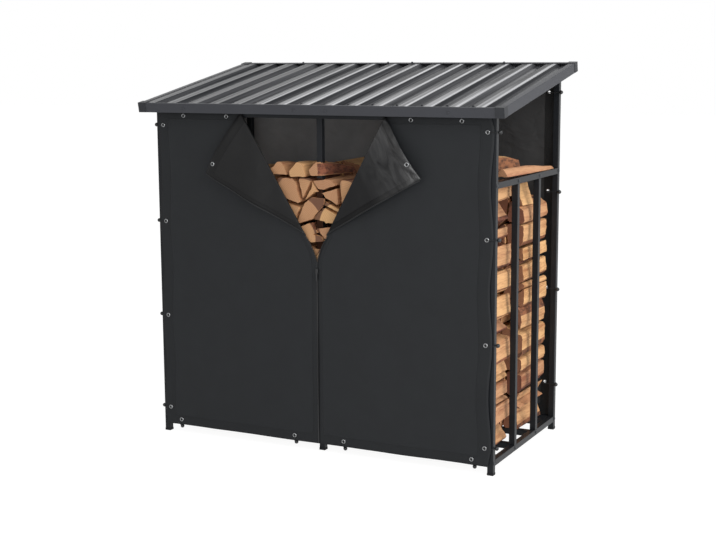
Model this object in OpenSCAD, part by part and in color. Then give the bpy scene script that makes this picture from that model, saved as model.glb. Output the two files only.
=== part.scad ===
// Log store: a square-tube frame with a sloping ribbed roof, two front curtains
// with folded-back corners, a rear cover on elastic ties, and two rows of firewood.
// The front is towards -Y, the right is +X and the ground is the plane z = 0.

/* [Frame] */
// Width over the corner posts
frame_w = 1550; // [1300:10:1800]
// Depth over the corner posts
frame_d = 765; // [720:5:900]
// Side of the square tube
tube = 25; // [20:1:30]
// Wall of the square tube
tube_wall = 1.5; // [1:0.1:2.5]
// Height of the top of the bottom rails
base_z = 60; // [45:1:90]
// Height of the top of the side mid rails
side_rail_z = 1157; // [1050:1:1180]
// Upright bars on each side
side_bar_count = 2; // [1:1:4]
// Height of a foot under its post
foot_h = 10; // [6:1:18]
// How far a foot stands out around its post
foot_lip = 1; // [0.5:0.5:3]
// Height of the plug of a foot inside its post
foot_plug_h = 20; // [10:1:40]

/* [Roof] */
// Width over the roof trim
roof_w = 1655; // [1400:5:1950]
// Depth over the roof trim, in plan
roof_d = 890; // [830:5:1050]
// Height of the front top edge
roof_front_z = 1445; // [1400:1:1600]
// Fall of the roof towards the front, in degrees
roof_fall = 10.45; // [5:0.05:15]
// Height of the trim around the roof
trim_h = 40; // [30:1:60]
// How far the trim laps over the ribs
trim_lap = 26; // [15:1:40]
// Thickness of the trim
trim_t = 1.2; // [0.8:0.1:2]
// Length of a corner cap along each edge
cap_len = 38; // [30:1:60]
// Thickness of a corner cap
cap_t = 2; // [1:0.1:3]
// Spacing of the roof ribs
rib_pitch = 107; // [90:1:130]
// Height of a roof rib
rib_h = 13; // [8:0.5:20]
// Width of the flat top of a rib
rib_top_w = 48; // [30:1:55]
// Run of a rib's sloping side
rib_side_w = 8; // [4:0.5:14]
// Place of the rib where the two sheets lap, from the centre line
lap_rib_x = -27; // [-40:1:40]
// Thickness of the roof sheet
sheet_t = 0.8; // [0.5:0.1:1.5]

/* [Curtains and cover] */
// Thickness of the cloth
cloth_t = 1.5; // [1:0.1:3]
// Height of the lower edge of the cloth
cloth_bottom_z = 36; // [20:1:60]
// Distance of the curtains' outer edges from the outside of the frame
cloth_inset = 2; // [0:0.5:8]
// How far the rear cover turns forward round the left rear post
cover_lap = 115; // [60:1:160]
// Gap between the two curtains along the zip
zip_gap = 1; // [0.5:0.5:4]
// Place of the left fold along the top edge, from the centre line
left_fold_x = 358; // [250:1:420]
// Place of the right fold along the top edge, from the centre line
right_fold_x = 321; // [250:1:420]
// Height at which the folds meet
fold_z = 820; // [650:1:950]
// Radius of the roll along a fold
fold_r = 4; // [3:0.5:8]
// How far a folded corner stands away from its curtain, in degrees
flap_lift = 5; // [3:0.5:12]
// Diameter of an eyelet hole
eyelet_d = 12; // [10:0.5:16]
// Distance of the side eyelets from the outside of the frame, front
front_eyelet_inset = 30; // [28:0.5:40]
// Distance of the side eyelets from the outside of the frame, rear
rear_eyelet_inset = 53; // [40:0.5:60]
// Height of the lowest side eyelet, front
front_eyelet_z = 110; // [90:1:160]
// Height of the lowest side eyelet, rear
rear_eyelet_z = 207; // [120:1:260]
// Spacing of the side eyelets, front
front_eyelet_pitch = 413; // [300:1:420]
// Spacing of the side eyelets, rear
rear_eyelet_pitch = 424; // [300:1:430]
// Side eyelets on each edge
eyelet_count = 4; // [2:1:4]
// Distance of the top and bottom eyelets from the edge of the cloth
edge_eyelet_inset = 22; // [15:1:35]

/* [Ties] */
// Thickness of the elastic cord
cord_t = 3; // [2:0.5:5]
// Diameter of the ball
ball_d = 17; // [12:1:28]

/* [Firewood] */
// Typical width of a log
log_w = 95; // [80:1:130]
// Length of a log
log_len = 300; // [250:1:320]
// Height of the stack above the bottom rails
stack_h = 1140; // [900:5:1150]
// Gap between neighbouring logs
log_gap = 0.5; // [0.3:0.1:0.9]
// Distance of the front row's ends behind the front of the frame
front_row_inset = 5; // [3:1:20]
// Distance of the rear row's ends before the rear of the frame
rear_row_inset = 35; // [33:1:60]
// Distance of the stack from the side bars
stack_side_gap = 10; // [9:1:30]
// Most that a log's end is set back from its row
log_end_play = 16; // [0:1:25]
// Seed of the firewood's random shapes
log_seed = 7; // [1:1:99]

/* [Hidden] */
// Clearance between pieces that seat against each other
fit_gap = 0.2;
// Overrun of a cut past the face that it opens
overrun = 5;
$fn = 48;

// Firewood: how far the corners of a log wander, are cut off, and how many logs are split
wander_share = 0.24;
corner_share = 0.12;
split_share = 0.3;
// Least and greatest distance of the bark from the pith, as shares of the log's longest reach from it
bark_shares = [0.84, 0.94];
// Level of the flat part of the stack that carries the loose logs, as a share of its height
shelf_share = 0.955;
// Height of the stack along each bay, from the middle outwards, as shares of its full height
front_left_top_shares = [shelf_share, shelf_share, shelf_share, shelf_share, 0.97, 0.985, 0.96, 0.97, 0.96];
front_right_top_shares = [shelf_share];
rear_left_top_shares = [0.97, 0.99, 0.96, 0.95, 0.97, 0.94, 0.95, 0.93, 0.94];
rear_right_top_shares = [0.98, 0.96, 0.97, 0.95, 0.94, 0.93, 0.93, 0.93, 0.93];
// How far the top logs of the rear right row end short of the others, as a share of a log's length
short_top_share = 0.46;
// Loose logs: place as shares of the frame's width and depth, turn in degrees, radius as a share of the
// log width, depth of the flat underside as a share of the radius, length as a share, and where it lies:
// 0 on the shelf or 1 on the side mid rail
loose_log_shares = [
    [-0.1213, -0.294, 2, 0.474, 0.3, 1, 0],
    [-0.0571, -0.298, -1, 0.468, 0.5, 1, 0],
    [-0.0023, -0.255, 0, 0.385, 0.68, 0.84, 0],
    [0.1935, -0.294, 6, 0.51, 0.2, 1, 0],
    [0.415, -0.157, -5, 0.54, 0.75, 1.6, 0],
    [0.482, 0.0627, 0, 0.295, 0.4, 1.97, 1]
];
// Bearers under the firewood, as shares of the frame's depth
bearer_shares = [-0.39, -0.137, 0.137, 0.39];
// Top and bottom eyelets along a curtain, and along half the rear cover, as shares of the frame's width
top_eyelet_shares = [0.271, 0.411];
bottom_eyelet_shares = [0.075, 0.447];
rear_eyelet_shares = [0.15, 0.3];

// Frame
tube_bore = tube - 2 * tube_wall;
post_x = (frame_w - tube) / 2;
post_y = (frame_d - tube) / 2;
middle_post_y = post_y - tube;
clear_w = frame_w - 2 * tube;
clear_d = frame_d - 2 * tube;
base_mid_z = base_z - tube / 2;
side_rail_mid_z = side_rail_z - tube / 2;

// Roof, measured along its slope from the front top edge and down from its top face
cap_h = trim_h + cap_t;
roof_len = (roof_d - cap_h * sin(roof_fall)) / cos(roof_fall);
roof_top_z = roof_front_z + roof_len * sin(roof_fall);
left_sheet_drop = cap_t + trim_t + fit_gap + rib_h;
right_sheet_drop = left_sheet_drop + sheet_t + fit_gap;
rafter_drop = right_sheet_drop + sheet_t + fit_gap;
post_drop = rafter_drop + tube;
sheet_edge = cap_t + trim_t + fit_gap;
sheet_len = roof_len - 2 * sheet_edge;
sheet_half_w = roof_w / 2 - sheet_edge;
verge_start = cap_t + trim_lap + fit_gap;
verge_len = roof_len - 2 * verge_start;
rib_half_w = rib_top_w / 2 + rib_side_w;
bend_shift = sheet_t * tan(atan2(rib_h, rib_side_w) / 2);

// Height of the plane under the rafters at a place along the depth
function rafter_z(y) = roof_front_z + (y + roof_d / 2) * tan(roof_fall) - post_drop / cos(roof_fall);

front_rail_z = rafter_z(-frame_d / 2);
rear_rail_z = rafter_z(frame_d / 2 - tube);

// Cloth
cloth_outer_x = frame_w / 2 - cloth_inset;
curtain_back_y = -frame_d / 2 - fit_gap;
cover_front_y = frame_d / 2 + fit_gap;
cover_rear_y = cover_front_y + cloth_t;
cover_lap_x = frame_w / 2 + fit_gap;
front_eyelet_x = frame_w / 2 - front_eyelet_inset;
rear_eyelet_x = frame_w / 2 - rear_eyelet_inset;

// Ties, in front of the cloth and behind the tube
tie_front_y = curtain_back_y - cloth_t - fit_gap - cord_t;
tie_back_y = -frame_d / 2 + tube + fit_gap + cord_t;

// Firewood
row_rear_y = -frame_d / 2 + front_row_inset + log_len;
rear_row_y = frame_d / 2 - rear_row_inset;
bay_start = tube / 2 + fit_gap;
bay_w = clear_w / 2 - stack_side_gap - bay_start;
log_columns = round(bay_w / log_w);
log_courses = round(stack_h / log_w);
stack_z = base_z + fit_gap;
shelf_z = stack_z + stack_h * shelf_share;

steel = "#4a4e53";
roof_paint = "#47484c";
cloth = "#2f3134";
plastic = "#2a2b2d";
cap_grey = "#6a6b6b";
wood = "#b98a5b";

// Square tube standing on the origin
module square_tube(length) {
    linear_extrude(height = length)
        difference() {
            square(tube, center = true);
            square(tube_bore, center = true);
        }
}

// Square tube centred on the origin, along X
module rail_x(length) {
    translate([-length / 2, 0, 0])
        rotate([0, 90, 0])
            square_tube(length);
}

// Square tube centred on the origin, along Y
module rail_y(length) {
    translate([0, -length / 2, 0])
        rotate([-90, 0, 0])
            square_tube(length);
}

// Places its children on the roof slope: Y runs up the slope, Z out of it
module on_roof() {
    translate([0, -roof_d / 2, roof_front_z])
        rotate([roof_fall, 0, 0])
            children();
}

// The space above the plane that the posts are cut to
module above_posts() {
    on_roof()
        translate([-roof_w / 2, -roof_d / 2, -post_drop])
            cube([roof_w, 2 * roof_d, roof_front_z]);
}

// Post from its foot to the underside of the rafter
module post(x, y) {
    color(steel)
        difference() {
            translate([x, y, foot_h])
                square_tube(roof_top_z);
            above_posts();
        }
}

module foot(x, y) {
    translate([x, y, 0]) {
        linear_extrude(height = foot_h)
            square(tube + 2 * foot_lip, center = true);
        linear_extrude(height = foot_h + foot_plug_h)
            square(tube_bore - 2 * fit_gap, center = true);
    }
}

module post_feet() {
    color(plastic)
        for (x = [-post_x, post_x], y = [-post_y, post_y])
            foot(x, y);
    color(plastic)
        for (y = [-middle_post_y, middle_post_y])
            foot(0, y);
}

module bottom_cross_rail(y) {
    color(steel)
        translate([0, y, base_mid_z])
            rail_x(clear_w);
}

module bottom_side_rail(x) {
    color(steel)
        translate([x, 0, base_mid_z])
            rail_y(clear_d);
}

module log_bearers() {
    color(steel)
        for (share = bearer_shares)
            translate([0, share * frame_d, base_mid_z])
                rail_x(clear_w);
}

module top_rail(y, top_z) {
    color(steel)
        translate([0, y, top_z - tube / 2])
            rail_x(clear_w);
}

// Sloping tube over the posts, as deep as the frame
module rafter(x) {
    color(steel)
        on_roof()
            translate([x, (roof_d - frame_d) / 2 / cos(roof_fall), -rafter_drop - tube / 2])
                rotate([-90, 0, 0])
                    square_tube(frame_d / cos(roof_fall));
}

module side_rail(x) {
    color(steel)
        translate([x, 0, side_rail_mid_z])
            rail_y(clear_d);
}

module side_bars(x) {
    bar_pitch = frame_d / (side_bar_count + 1);
    color(steel)
        for (i = [1 : side_bar_count])
            translate([x, -frame_d / 2 + i * bar_pitch, base_z])
                square_tube(side_rail_z - tube - base_z);
}

// Corners of one rib, as places along the sheet and heights above the troughs
function rib_points(x) = [
    [x - rib_half_w, 0], [x - rib_top_w / 2, rib_h], [x + rib_top_w / 2, rib_h], [x + rib_half_w, 0]
];

// Lower face of a bent sheet: each bend moves towards the inside of its rib
function under_points(x) = [
    [x - rib_half_w + bend_shift, -sheet_t], [x - rib_top_w / 2 + bend_shift, rib_h - sheet_t],
    [x + rib_top_w / 2 - bend_shift, rib_h - sheet_t], [x + rib_half_w - bend_shift, -sheet_t]
];

// Places of the whole ribs to one side of the lap
function rib_places(side) = [
    for (i = [1 : floor((sheet_half_w - side * lap_rib_x - rib_half_w) / rib_pitch)])
        lap_rib_x + side * i * rib_pitch
];

// Section of the sheet on one side of the lap, drawn as the right-hand sheet
module sheet_section(side) {
    lap_x = side * lap_rib_x;
    places = [for (x = rib_places(side)) side * x];
    upper = concat(
        [[lap_x - rib_top_w / 4, rib_h], [lap_x + rib_top_w / 2, rib_h], [lap_x + rib_half_w, 0]],
        [for (x = places) each rib_points(x)],
        [[sheet_half_w, 0]]
    );
    lower = concat(
        [[lap_x - rib_top_w / 4, rib_h - sheet_t], [lap_x + rib_top_w / 2 - bend_shift, rib_h - sheet_t],
            [lap_x + rib_half_w - bend_shift, -sheet_t]],
        [for (x = places) each under_points(x)],
        [[sheet_half_w, -sheet_t]]
    );
    polygon(concat(upper, [for (i = [len(lower) - 1 : -1 : 0]) lower[i]]));
}

module roof_sheet(side, drop) {
    color(roof_paint)
        on_roof()
            translate([0, sheet_edge + sheet_len, -drop])
                rotate([90, 0, 0])
                    linear_extrude(height = sheet_len)
                        if (side > 0)
                            sheet_section(side);
                        else
                            mirror([1, 0])
                                sheet_section(side);
}

// Section of the roof trim: a leg over the ribs and a leg down the edge
module trim_section() {
    translate([cap_t, -cap_t - trim_t])
        square([trim_lap, trim_t]);
    translate([cap_t, -cap_t - trim_h])
        square([trim_t, trim_h]);
}

// Trim along the front of the roof, from cap to cap
module front_trim() {
    trim_w = roof_w - 2 * cap_t;
    translate([-trim_w / 2, 0, 0])
        rotate([90, 0, 90])
            linear_extrude(height = trim_w)
                trim_section();
}

module front_fascia() {
    color(roof_paint)
        on_roof()
            front_trim();
}

module rear_fascia() {
    color(roof_paint)
        on_roof()
            translate([0, roof_len, 0])
                mirror([0, 1, 0])
                    front_trim();
}

// Trim up one slope, between the front and rear trims
module verge(side) {
    color(roof_paint)
        on_roof()
            translate([side * roof_w / 2, verge_start + verge_len, 0])
                mirror([side > 0 ? 1 : 0, 0, 0])
                    rotate([90, 0, 0])
                        linear_extrude(height = verge_len)
                            trim_section();
}

// Moulded cap over one corner of the trim, with its outer corner on the origin
module corner_cap() {
    inner = cap_t - fit_gap;
    difference() {
        translate([0, 0, -cap_h])
            cube([cap_len, cap_len, cap_h]);
        translate([inner, inner, -cap_h - overrun])
            cube([cap_len, cap_len, cap_h + overrun - inner]);
    }
}

module roof_corner_caps() {
    color(cap_grey)
        on_roof()
            for (right = [0, 1], rear = [0, 1])
                translate([(2 * right - 1) * roof_w / 2, rear * roof_len, 0])
                    mirror([right, 0, 0])
                        mirror([0, rear, 0])
                            corner_cap();
}

// Stands a drawing in width and height up, with its front face at y - thickness
module cloth_sheet(y) {
    translate([0, y, 0])
        rotate([90, 0, 0])
            linear_extrude(height = cloth_t)
                children();
}

module eyelet_holes(side_x, first_z, pitch) {
    for (i = [0 : eyelet_count - 1])
        translate([side_x, first_z + i * pitch])
            circle(d = eyelet_d);
}

// Right-hand curtain with its corner folded out about the line from the top edge to the zip
module curtain(fold_x) {
    zip_x = zip_gap / 2;
    fold_len = norm([fold_x - zip_x, front_rail_z - fold_z]);
    fold_turn = atan2(fold_x - zip_x, front_rail_z - fold_z);
    hinge_y = curtain_back_y - fold_r;
    cloth_sheet(curtain_back_y)
        difference() {
            polygon([
                [zip_x, cloth_bottom_z], [cloth_outer_x, cloth_bottom_z],
                [cloth_outer_x, front_rail_z], [fold_x, front_rail_z], [zip_x, fold_z]
            ]);
            eyelet_holes(front_eyelet_x, front_eyelet_z, front_eyelet_pitch);
            for (share = top_eyelet_shares)
                translate([share * frame_w, front_rail_z - edge_eyelet_inset])
                    circle(d = eyelet_d);
            for (share = bottom_eyelet_shares)
                translate([share * frame_w, cloth_bottom_z + edge_eyelet_inset])
                    circle(d = eyelet_d);
        }
    translate([zip_x, hinge_y, fold_z])
        rotate([0, fold_turn, 0]) {
            cylinder(r = fold_r + fit_gap, h = fold_len);
            rotate([0, 0, 180 - flap_lift])
                rotate([0, -fold_turn, 0])
                    translate([-zip_x, -hinge_y, -fold_z])
                        cloth_sheet(curtain_back_y)
                            polygon([[zip_x, fold_z], [fold_x, front_rail_z], [zip_x, front_rail_z]]);
        }
}

module front_left_curtain() {
    color(cloth)
        mirror([1, 0, 0])
            curtain(left_fold_x);
}

module front_right_curtain() {
    color(cloth)
        curtain(right_fold_x);
}

// Rear cover, with its left edge turned forward round the post
module rear_cover() {
    cover_h = rear_rail_z - cloth_bottom_z;
    color(cloth) {
        cloth_sheet(cover_rear_y)
            difference() {
                translate([-cover_lap_x - cloth_t, cloth_bottom_z])
                    square([cover_lap_x + cloth_t + cloth_outer_x, cover_h]);
                for (side = [-1, 1]) {
                    eyelet_holes(side * rear_eyelet_x, rear_eyelet_z, rear_eyelet_pitch);
                    for (share = rear_eyelet_shares, z = [cloth_bottom_z + edge_eyelet_inset,
                            rear_rail_z - edge_eyelet_inset])
                        translate([side * share * frame_w, z])
                            circle(d = eyelet_d);
                }
            }
        translate([-cover_lap_x - cloth_t, cover_rear_y - cover_lap, cloth_bottom_z])
            cube([cloth_t, cover_lap, cover_h]);
    }
}

// Elastic loop from an eyelet round a corner post, and round the cloth on its side, with a ball outside
module tie(eyelet_x, z, side_cloth) {
    loop_start = eyelet_x - cord_t / 2;
    loop_end = frame_w / 2 + side_cloth + fit_gap + cord_t;
    translate([0, 0, z - cord_t / 2])
        linear_extrude(height = cord_t)
            difference() {
                translate([loop_start, tie_front_y])
                    square([loop_end - loop_start, tie_back_y - tie_front_y]);
                translate([loop_start + cord_t, tie_front_y + cord_t])
                    square([loop_end - loop_start - 2 * cord_t, tie_back_y - tie_front_y - 2 * cord_t]);
            }
    translate([loop_end + (ball_d - cord_t) / 2, -post_y, z])
        sphere(d = ball_d);
}

// Elastic cord from a bottom eyelet under the bottom rail and up behind it, with a ball below
module bottom_tie(x) {
    low_z = base_z - tube - fit_gap - cord_t;
    translate([x - cord_t / 2, 0, low_z]) {
        translate([0, tie_front_y, 0])
            cube([cord_t, cord_t, cloth_bottom_z + edge_eyelet_inset - low_z]);
        translate([0, tie_front_y, 0])
            cube([cord_t, tie_back_y - tie_front_y, cord_t]);
        translate([0, tie_back_y - cord_t, 0])
            cube([cord_t, cord_t, base_mid_z - low_z]);
    }
    translate([x, -post_y, low_z - (ball_d - cord_t) / 2])
        sphere(d = ball_d);
}

// Ties at one post and along its half of the bottom rail; the rear ones are the front ones turned about
module ties(side, rear) {
    side_cloth = rear && side < 0 ? fit_gap + cloth_t : 0;
    color(plastic)
        mirror([side > 0 ? 0 : 1, 0, 0])
            mirror([0, rear ? 1 : 0, 0]) {
                for (i = [0 : eyelet_count - 1])
                    tie(rear ? rear_eyelet_x : front_eyelet_x,
                        rear ? rear_eyelet_z + i * rear_eyelet_pitch : front_eyelet_z + i * front_eyelet_pitch,
                        side_cloth);
                for (share = rear ? rear_eyelet_shares : bottom_eyelet_shares)
                    bottom_tie(share * frame_w);
            }
}

// Corner of the firewood's grid: inner corners wander, outer ones stay on the bay's edge
function log_corner(column, course, tops, noise) =
    let (
        k = 2 * (column * (log_courses + 1) + course),
        free_x = column > 0 && column < log_columns ? wander_share : 0,
        free_z = course > 0 && course < log_courses ? wander_share : 0,
        height = stack_h * tops[column % len(tops)]
    )
    [
        bay_start + bay_w * (column + free_x * noise[k]) / log_columns,
        stack_z + height * (course + free_z * noise[k + 1]) / log_courses
    ];

function centre(points) = [for (axis = [0, 1]) ([for (p = points) p[axis]] * [for (p = points) 1]) / len(points)];

// Outline of one log: its cell drawn in by the gap, with the corners cut off
function log_outline(cell) =
    let (
        middle = centre(cell),
        drawn = [for (p = cell) middle + (p - middle) * (1 - log_gap / log_w)],
        n = len(cell)
    )
    [
        for (i = [0 : n - 1])
            let (before = drawn[(i + n - 1) % n], here = drawn[i], after = drawn[(i + 1) % n])
                each [here + (before - here) * corner_share, here + (after - here) * corner_share]
    ];

// Logs of one cell: whole, or split across a corner
function split_cell(c, draw) =
    draw > split_share ? [c] :
    draw > split_share / 2 ? [[c[0], c[1], c[2]], [c[0], c[2], c[3]]] :
    [[c[0], c[1], c[3]], [c[1], c[2], c[3]]];

// End of one log: its outline within the bark, which runs round the corner where the pith was
module log_end(cell, pith_draw, bark_share) {
    pith = cell[floor(pith_draw * len(cell)) % len(cell)];
    reach = max([for (p = cell) norm(p - pith)]);
    intersection() {
        polygon(log_outline(cell));
        translate(pith)
            circle(reach * bark_share);
    }
}

// One bay of a row of firewood, drawn on the right; rear_y is where its logs end at the rear, and the
// top logs end short of it by a share of their length
module log_bay(rear_y, tops, seed, top_share = 0) {
    noise = rands(-1, 1, 2 * (log_columns + 1) * (log_courses + 1), log_seed + seed);
    draws = rands(0, 1, log_columns * log_courses, 2 * log_seed + seed);
    play = rands(0, log_end_play, 4 * log_columns * log_courses, 3 * log_seed + seed);
    pith_draws = rands(0, 1, 2 * log_columns * log_courses, 4 * log_seed + seed);
    barks = rands(bark_shares[0], bark_shares[1], 2 * log_columns * log_courses, 5 * log_seed + seed);
    for (column = [0 : log_columns - 1], course = [0 : log_courses - 1]) {
        cell = [
            for (step = [[0, 0], [1, 0], [1, 1], [0, 1]])
                log_corner(column + step[0], course + step[1], tops, noise)
        ];
        index = column * log_courses + course;
        pieces = split_cell(cell, draws[index]);
        for (i = [0 : len(pieces) - 1]) {
            rear_play = play[4 * index + 2 * i] + (course == log_courses - 1 ? top_share * log_len : 0);
            front_play = play[4 * index + 2 * i + 1];
            translate([0, rear_y - rear_play, 0])
                rotate([90, 0, 0])
                    linear_extrude(height = log_len - rear_play - front_play)
                        log_end(pieces[i], pith_draws[2 * index + i], barks[2 * index + i]);
        }
    }
}

module front_left_logs() {
    color(wood)
        mirror([1, 0, 0])
            log_bay(row_rear_y, front_left_top_shares, 11);
}

module front_right_logs() {
    color(wood)
        log_bay(row_rear_y, front_right_top_shares, 23);
}

module rear_left_logs() {
    color(wood)
        mirror([1, 0, 0])
            log_bay(rear_row_y, rear_left_top_shares, 37);
}

module rear_right_logs() {
    color(wood)
        log_bay(rear_row_y, rear_right_top_shares, 51, short_top_share);
}

// Log with a flat underside, lying along Y on the origin
module loose_log(radius, flat_depth, length) {
    rotate([90, 0, 0])
        translate([0, flat_depth, -length / 2])
            linear_extrude(height = length)
                difference() {
                    circle(radius);
                    translate([-radius, -radius - flat_depth])
                        square([2 * radius, radius]);
                }
}

module loose_logs() {
    color(wood)
        for (row = loose_log_shares)
            translate([row[0] * frame_w, row[1] * frame_d, row[6] == 1 ? side_rail_z + fit_gap : shelf_z])
                rotate([0, 0, row[2]])
                    loose_log(row[3] * log_w, row[4] * row[3] * log_w, row[5] * log_len);
}

post(-post_x, -post_y);  // front_left_post
post(post_x, -post_y);  // front_right_post
post(-post_x, post_y);  // rear_left_post
post(post_x, post_y);  // rear_right_post
post(0, -middle_post_y);  // front_middle_post
post(0, middle_post_y);  // rear_middle_post
post_feet();
bottom_cross_rail(-post_y);  // bottom_front_rail
bottom_cross_rail(post_y);  // bottom_rear_rail
bottom_side_rail(-post_x);  // bottom_left_rail
bottom_side_rail(post_x);  // bottom_right_rail
log_bearers();
top_rail(-post_y, front_rail_z);  // top_front_rail
top_rail(post_y, rear_rail_z);  // top_rear_rail
rafter(-post_x);  // left_rafter
rafter(post_x);  // right_rafter
rafter(0);  // middle_rafter
side_rail(-post_x);  // left_side_rail
side_rail(post_x);  // right_side_rail
side_bars(-post_x);  // left_side_bars
side_bars(post_x);  // right_side_bars
roof_sheet(-1, left_sheet_drop);  // left_roof_sheet
roof_sheet(1, right_sheet_drop);  // right_roof_sheet
front_fascia();
rear_fascia();
verge(-1);  // left_verge
verge(1);  // right_verge
roof_corner_caps();
front_left_curtain();
front_right_curtain();
rear_cover();
ties(-1, false);  // front_left_ties
ties(1, false);  // front_right_ties
ties(-1, true);  // rear_left_ties
ties(1, true);  // rear_right_ties
front_left_logs();
front_right_logs();
rear_left_logs();
rear_right_logs();
loose_logs();
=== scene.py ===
"""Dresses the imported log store: finishes on its steel, and its cloth, cords, fittings and logs in full."""

import logging
import math
import random
from collections.abc import Callable, Iterable, Sequence
from dataclasses import dataclass, field
from enum import Enum, IntEnum
from typing import ClassVar

import bmesh
import bpy
import numpy as np
from mathutils import Matrix, Vector, geometry, noise


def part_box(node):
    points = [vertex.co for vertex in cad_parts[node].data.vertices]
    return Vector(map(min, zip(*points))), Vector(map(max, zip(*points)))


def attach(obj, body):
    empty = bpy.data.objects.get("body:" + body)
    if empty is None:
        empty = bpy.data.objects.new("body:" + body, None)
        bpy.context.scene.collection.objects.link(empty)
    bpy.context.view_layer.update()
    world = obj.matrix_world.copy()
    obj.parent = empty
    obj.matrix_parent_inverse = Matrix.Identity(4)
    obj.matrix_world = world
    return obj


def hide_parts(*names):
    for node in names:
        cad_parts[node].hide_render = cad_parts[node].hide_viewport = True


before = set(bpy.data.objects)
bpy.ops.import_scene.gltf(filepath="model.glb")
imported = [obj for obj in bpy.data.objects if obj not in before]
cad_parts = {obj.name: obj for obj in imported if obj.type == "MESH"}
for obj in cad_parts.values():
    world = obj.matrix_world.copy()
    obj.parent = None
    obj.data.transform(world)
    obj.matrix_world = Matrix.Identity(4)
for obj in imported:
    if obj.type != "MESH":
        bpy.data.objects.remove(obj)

MM = 0.001
LOG = logging.getLogger("log_store")
Point2, Point3 = tuple[float, float], tuple[float, float, float]
Row, Array = tuple[float, ...], np.ndarray
Tree, Socket, Thing = bpy.types.NodeTree, bpy.types.NodeSocket, bpy.types.Object
Look = dict[str, Socket | float]
UP = np.array([0.0, 0.0, 1.0])
WHITE = (1, 1, 1, 1)
SHEEN = "Specular IOR Level"
# Points of a CAD mesh that lie closer than this are one.
WELD = 0.01 * MM
# Angles in degrees above which an edge stays sharp, and the same on bent sheet and cloth.
SHARP, ROUND = 40.0, 60.0
# How the tone of a log changes its brightness and its hue.
LOG_LIGHT, LOG_HUE = (0.76, 1.18), (0.488, 0.508)
# A girth that no point of a log reaches, so that none of its outline is bark.
NO_BARK = 9.0


def linear(code: str) -> tuple[float, float, float, float]:
    """Turns an sRGB hex code into a linear colour.

    Args:
        code: six hex digits, with or without a leading hash.

    Returns:
        Linear red, green, blue and an alpha of 1.
    """
    parts = [int(code.lstrip("#")[k : k + 2], 16) / 255 for k in (0, 2, 4)]
    red, green, blue = (c / 12.92 if c <= 0.04045 else ((c + 0.055) / 1.055) ** 2.4 for c in parts)
    return red, green, blue, 1.0


def smooth(low: float, high: float, value: float) -> float:
    """Rises smoothly from 0 at low to 1 at high."""
    share = min(max((value - low) / (high - low), 0.0), 1.0)
    return share * share * (3 - 2 * share)


def scale(size_mm: float) -> float:
    """Turns the size of a pattern in millimetres into the scale of its texture."""
    return 1 / (size_mm * MM)


def connect(tree: Tree, node: bpy.types.Node, inputs: dict) -> None:
    """Gives a node its inputs.

    Args:
        tree: the node tree.
        node: the node.
        inputs: value or output socket for each input, by name or number.
    """
    for key, value in inputs.items():
        if isinstance(value, Socket):
            tree.links.new(value, node.inputs[key])
        else:
            node.inputs[key].default_value = value


def add(tree: Tree, kind: str, inputs: dict | None = None, out: str | int = 0, **settings) -> Socket:
    """Adds a node with its settings and links.

    Args:
        tree: the node tree that gets the node.
        kind: the node's type name, without the word that all shader nodes start with.
        inputs: value or output socket for each input, by name or number.
        out: the output that is wanted, by name or number.
        settings: the node's own settings.

    Returns:
        That output of the new node.
    """
    node = tree.nodes.new(f"ShaderNode{kind}")
    for name, value in settings.items():
        setattr(node, name, value)
    connect(tree, node, inputs or {})
    return node.outputs[out]


class Slot(Enum):
    """The names of the material slots."""

    FRAME = "frame_steel"
    ROOF = "roof_sheet"
    TRIM = "roof_trim"
    CAPS = "cap_plastic"
    FEET = "foot_plastic"
    CLOTH = "tarpaulin"
    TIES = "ties"
    WOOD = "firewood"


@dataclass(frozen=True)
class Finish:
    """A surface: its material's name, main colour, roughness and sheen."""

    name: str
    colour: str
    rough: float
    sheen: float = 0.5

    def material(self) -> bpy.types.Material:
        """Makes the material once.

        Returns:
            The material with this finish's name.
        """
        made = bpy.data.materials.get(self.name)
        if made is None:
            made = bpy.data.materials.new(self.name)
            made.use_nodes = True
            tree = made.node_tree
            plain = {"Base Color": linear(self.colour), "Roughness": self.rough, SHEEN: self.sheen}
            connect(tree, tree.nodes["Principled BSDF"], {**plain, **self.paint(tree)})
        return made

    def paint(self, tree: Tree) -> Look:
        """Adds the surface's pattern; a plain surface has none."""
        return {}

    def tint(self, tree: Tree, other: str, share: Socket) -> Socket:
        """Mixes the main colour towards another.

        Args:
            tree: the material's nodes.
            other: the other colour's hex code.
            share: how much of the other colour shows, from 0 to 1.

        Returns:
            The mixed colour.
        """
        both = {0: share, 6: linear(self.colour), 7: linear(other)}
        return add(tree, "Mix", both, out=2, data_type="RGBA")


@dataclass(frozen=True)
class SprayedPaint(Finish):
    """Baked paint on steel: an even colour under a fine orange peel that breaks up its gloss.

    Moulded plastic with a fine grain gives the eye the same, so the caps and feet share this finish.
    """

    other: str = "34363a"
    cloud_mm: float = 240.0
    peel_mm: float = 3.0
    peel_deep_mm: float = 0.4
    depth: float = 0.06
    sheen: float = 0.3

    def paint(self, tree: Tree) -> Look:
        """Adds a slow change of tone, and the orange peel as a bump.

        Args:
            tree: the material's nodes.

        Returns:
            What the shader's inputs are given.
        """
        place = add(tree, "TexCoord", out="Object")
        cloud = add(tree, "TexNoise", {"Vector": place, "Scale": scale(self.cloud_mm), "Detail": 3.0})
        colour = self.tint(tree, self.other, cloud)
        peel = add(tree, "TexNoise", {"Vector": place, "Scale": scale(self.peel_mm), "Detail": 1.0})
        relief = {"Height": peel, "Strength": self.depth, "Distance": self.peel_deep_mm * MM}
        return {"Base Color": colour, "Normal": add(tree, "Bump", relief)}


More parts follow.
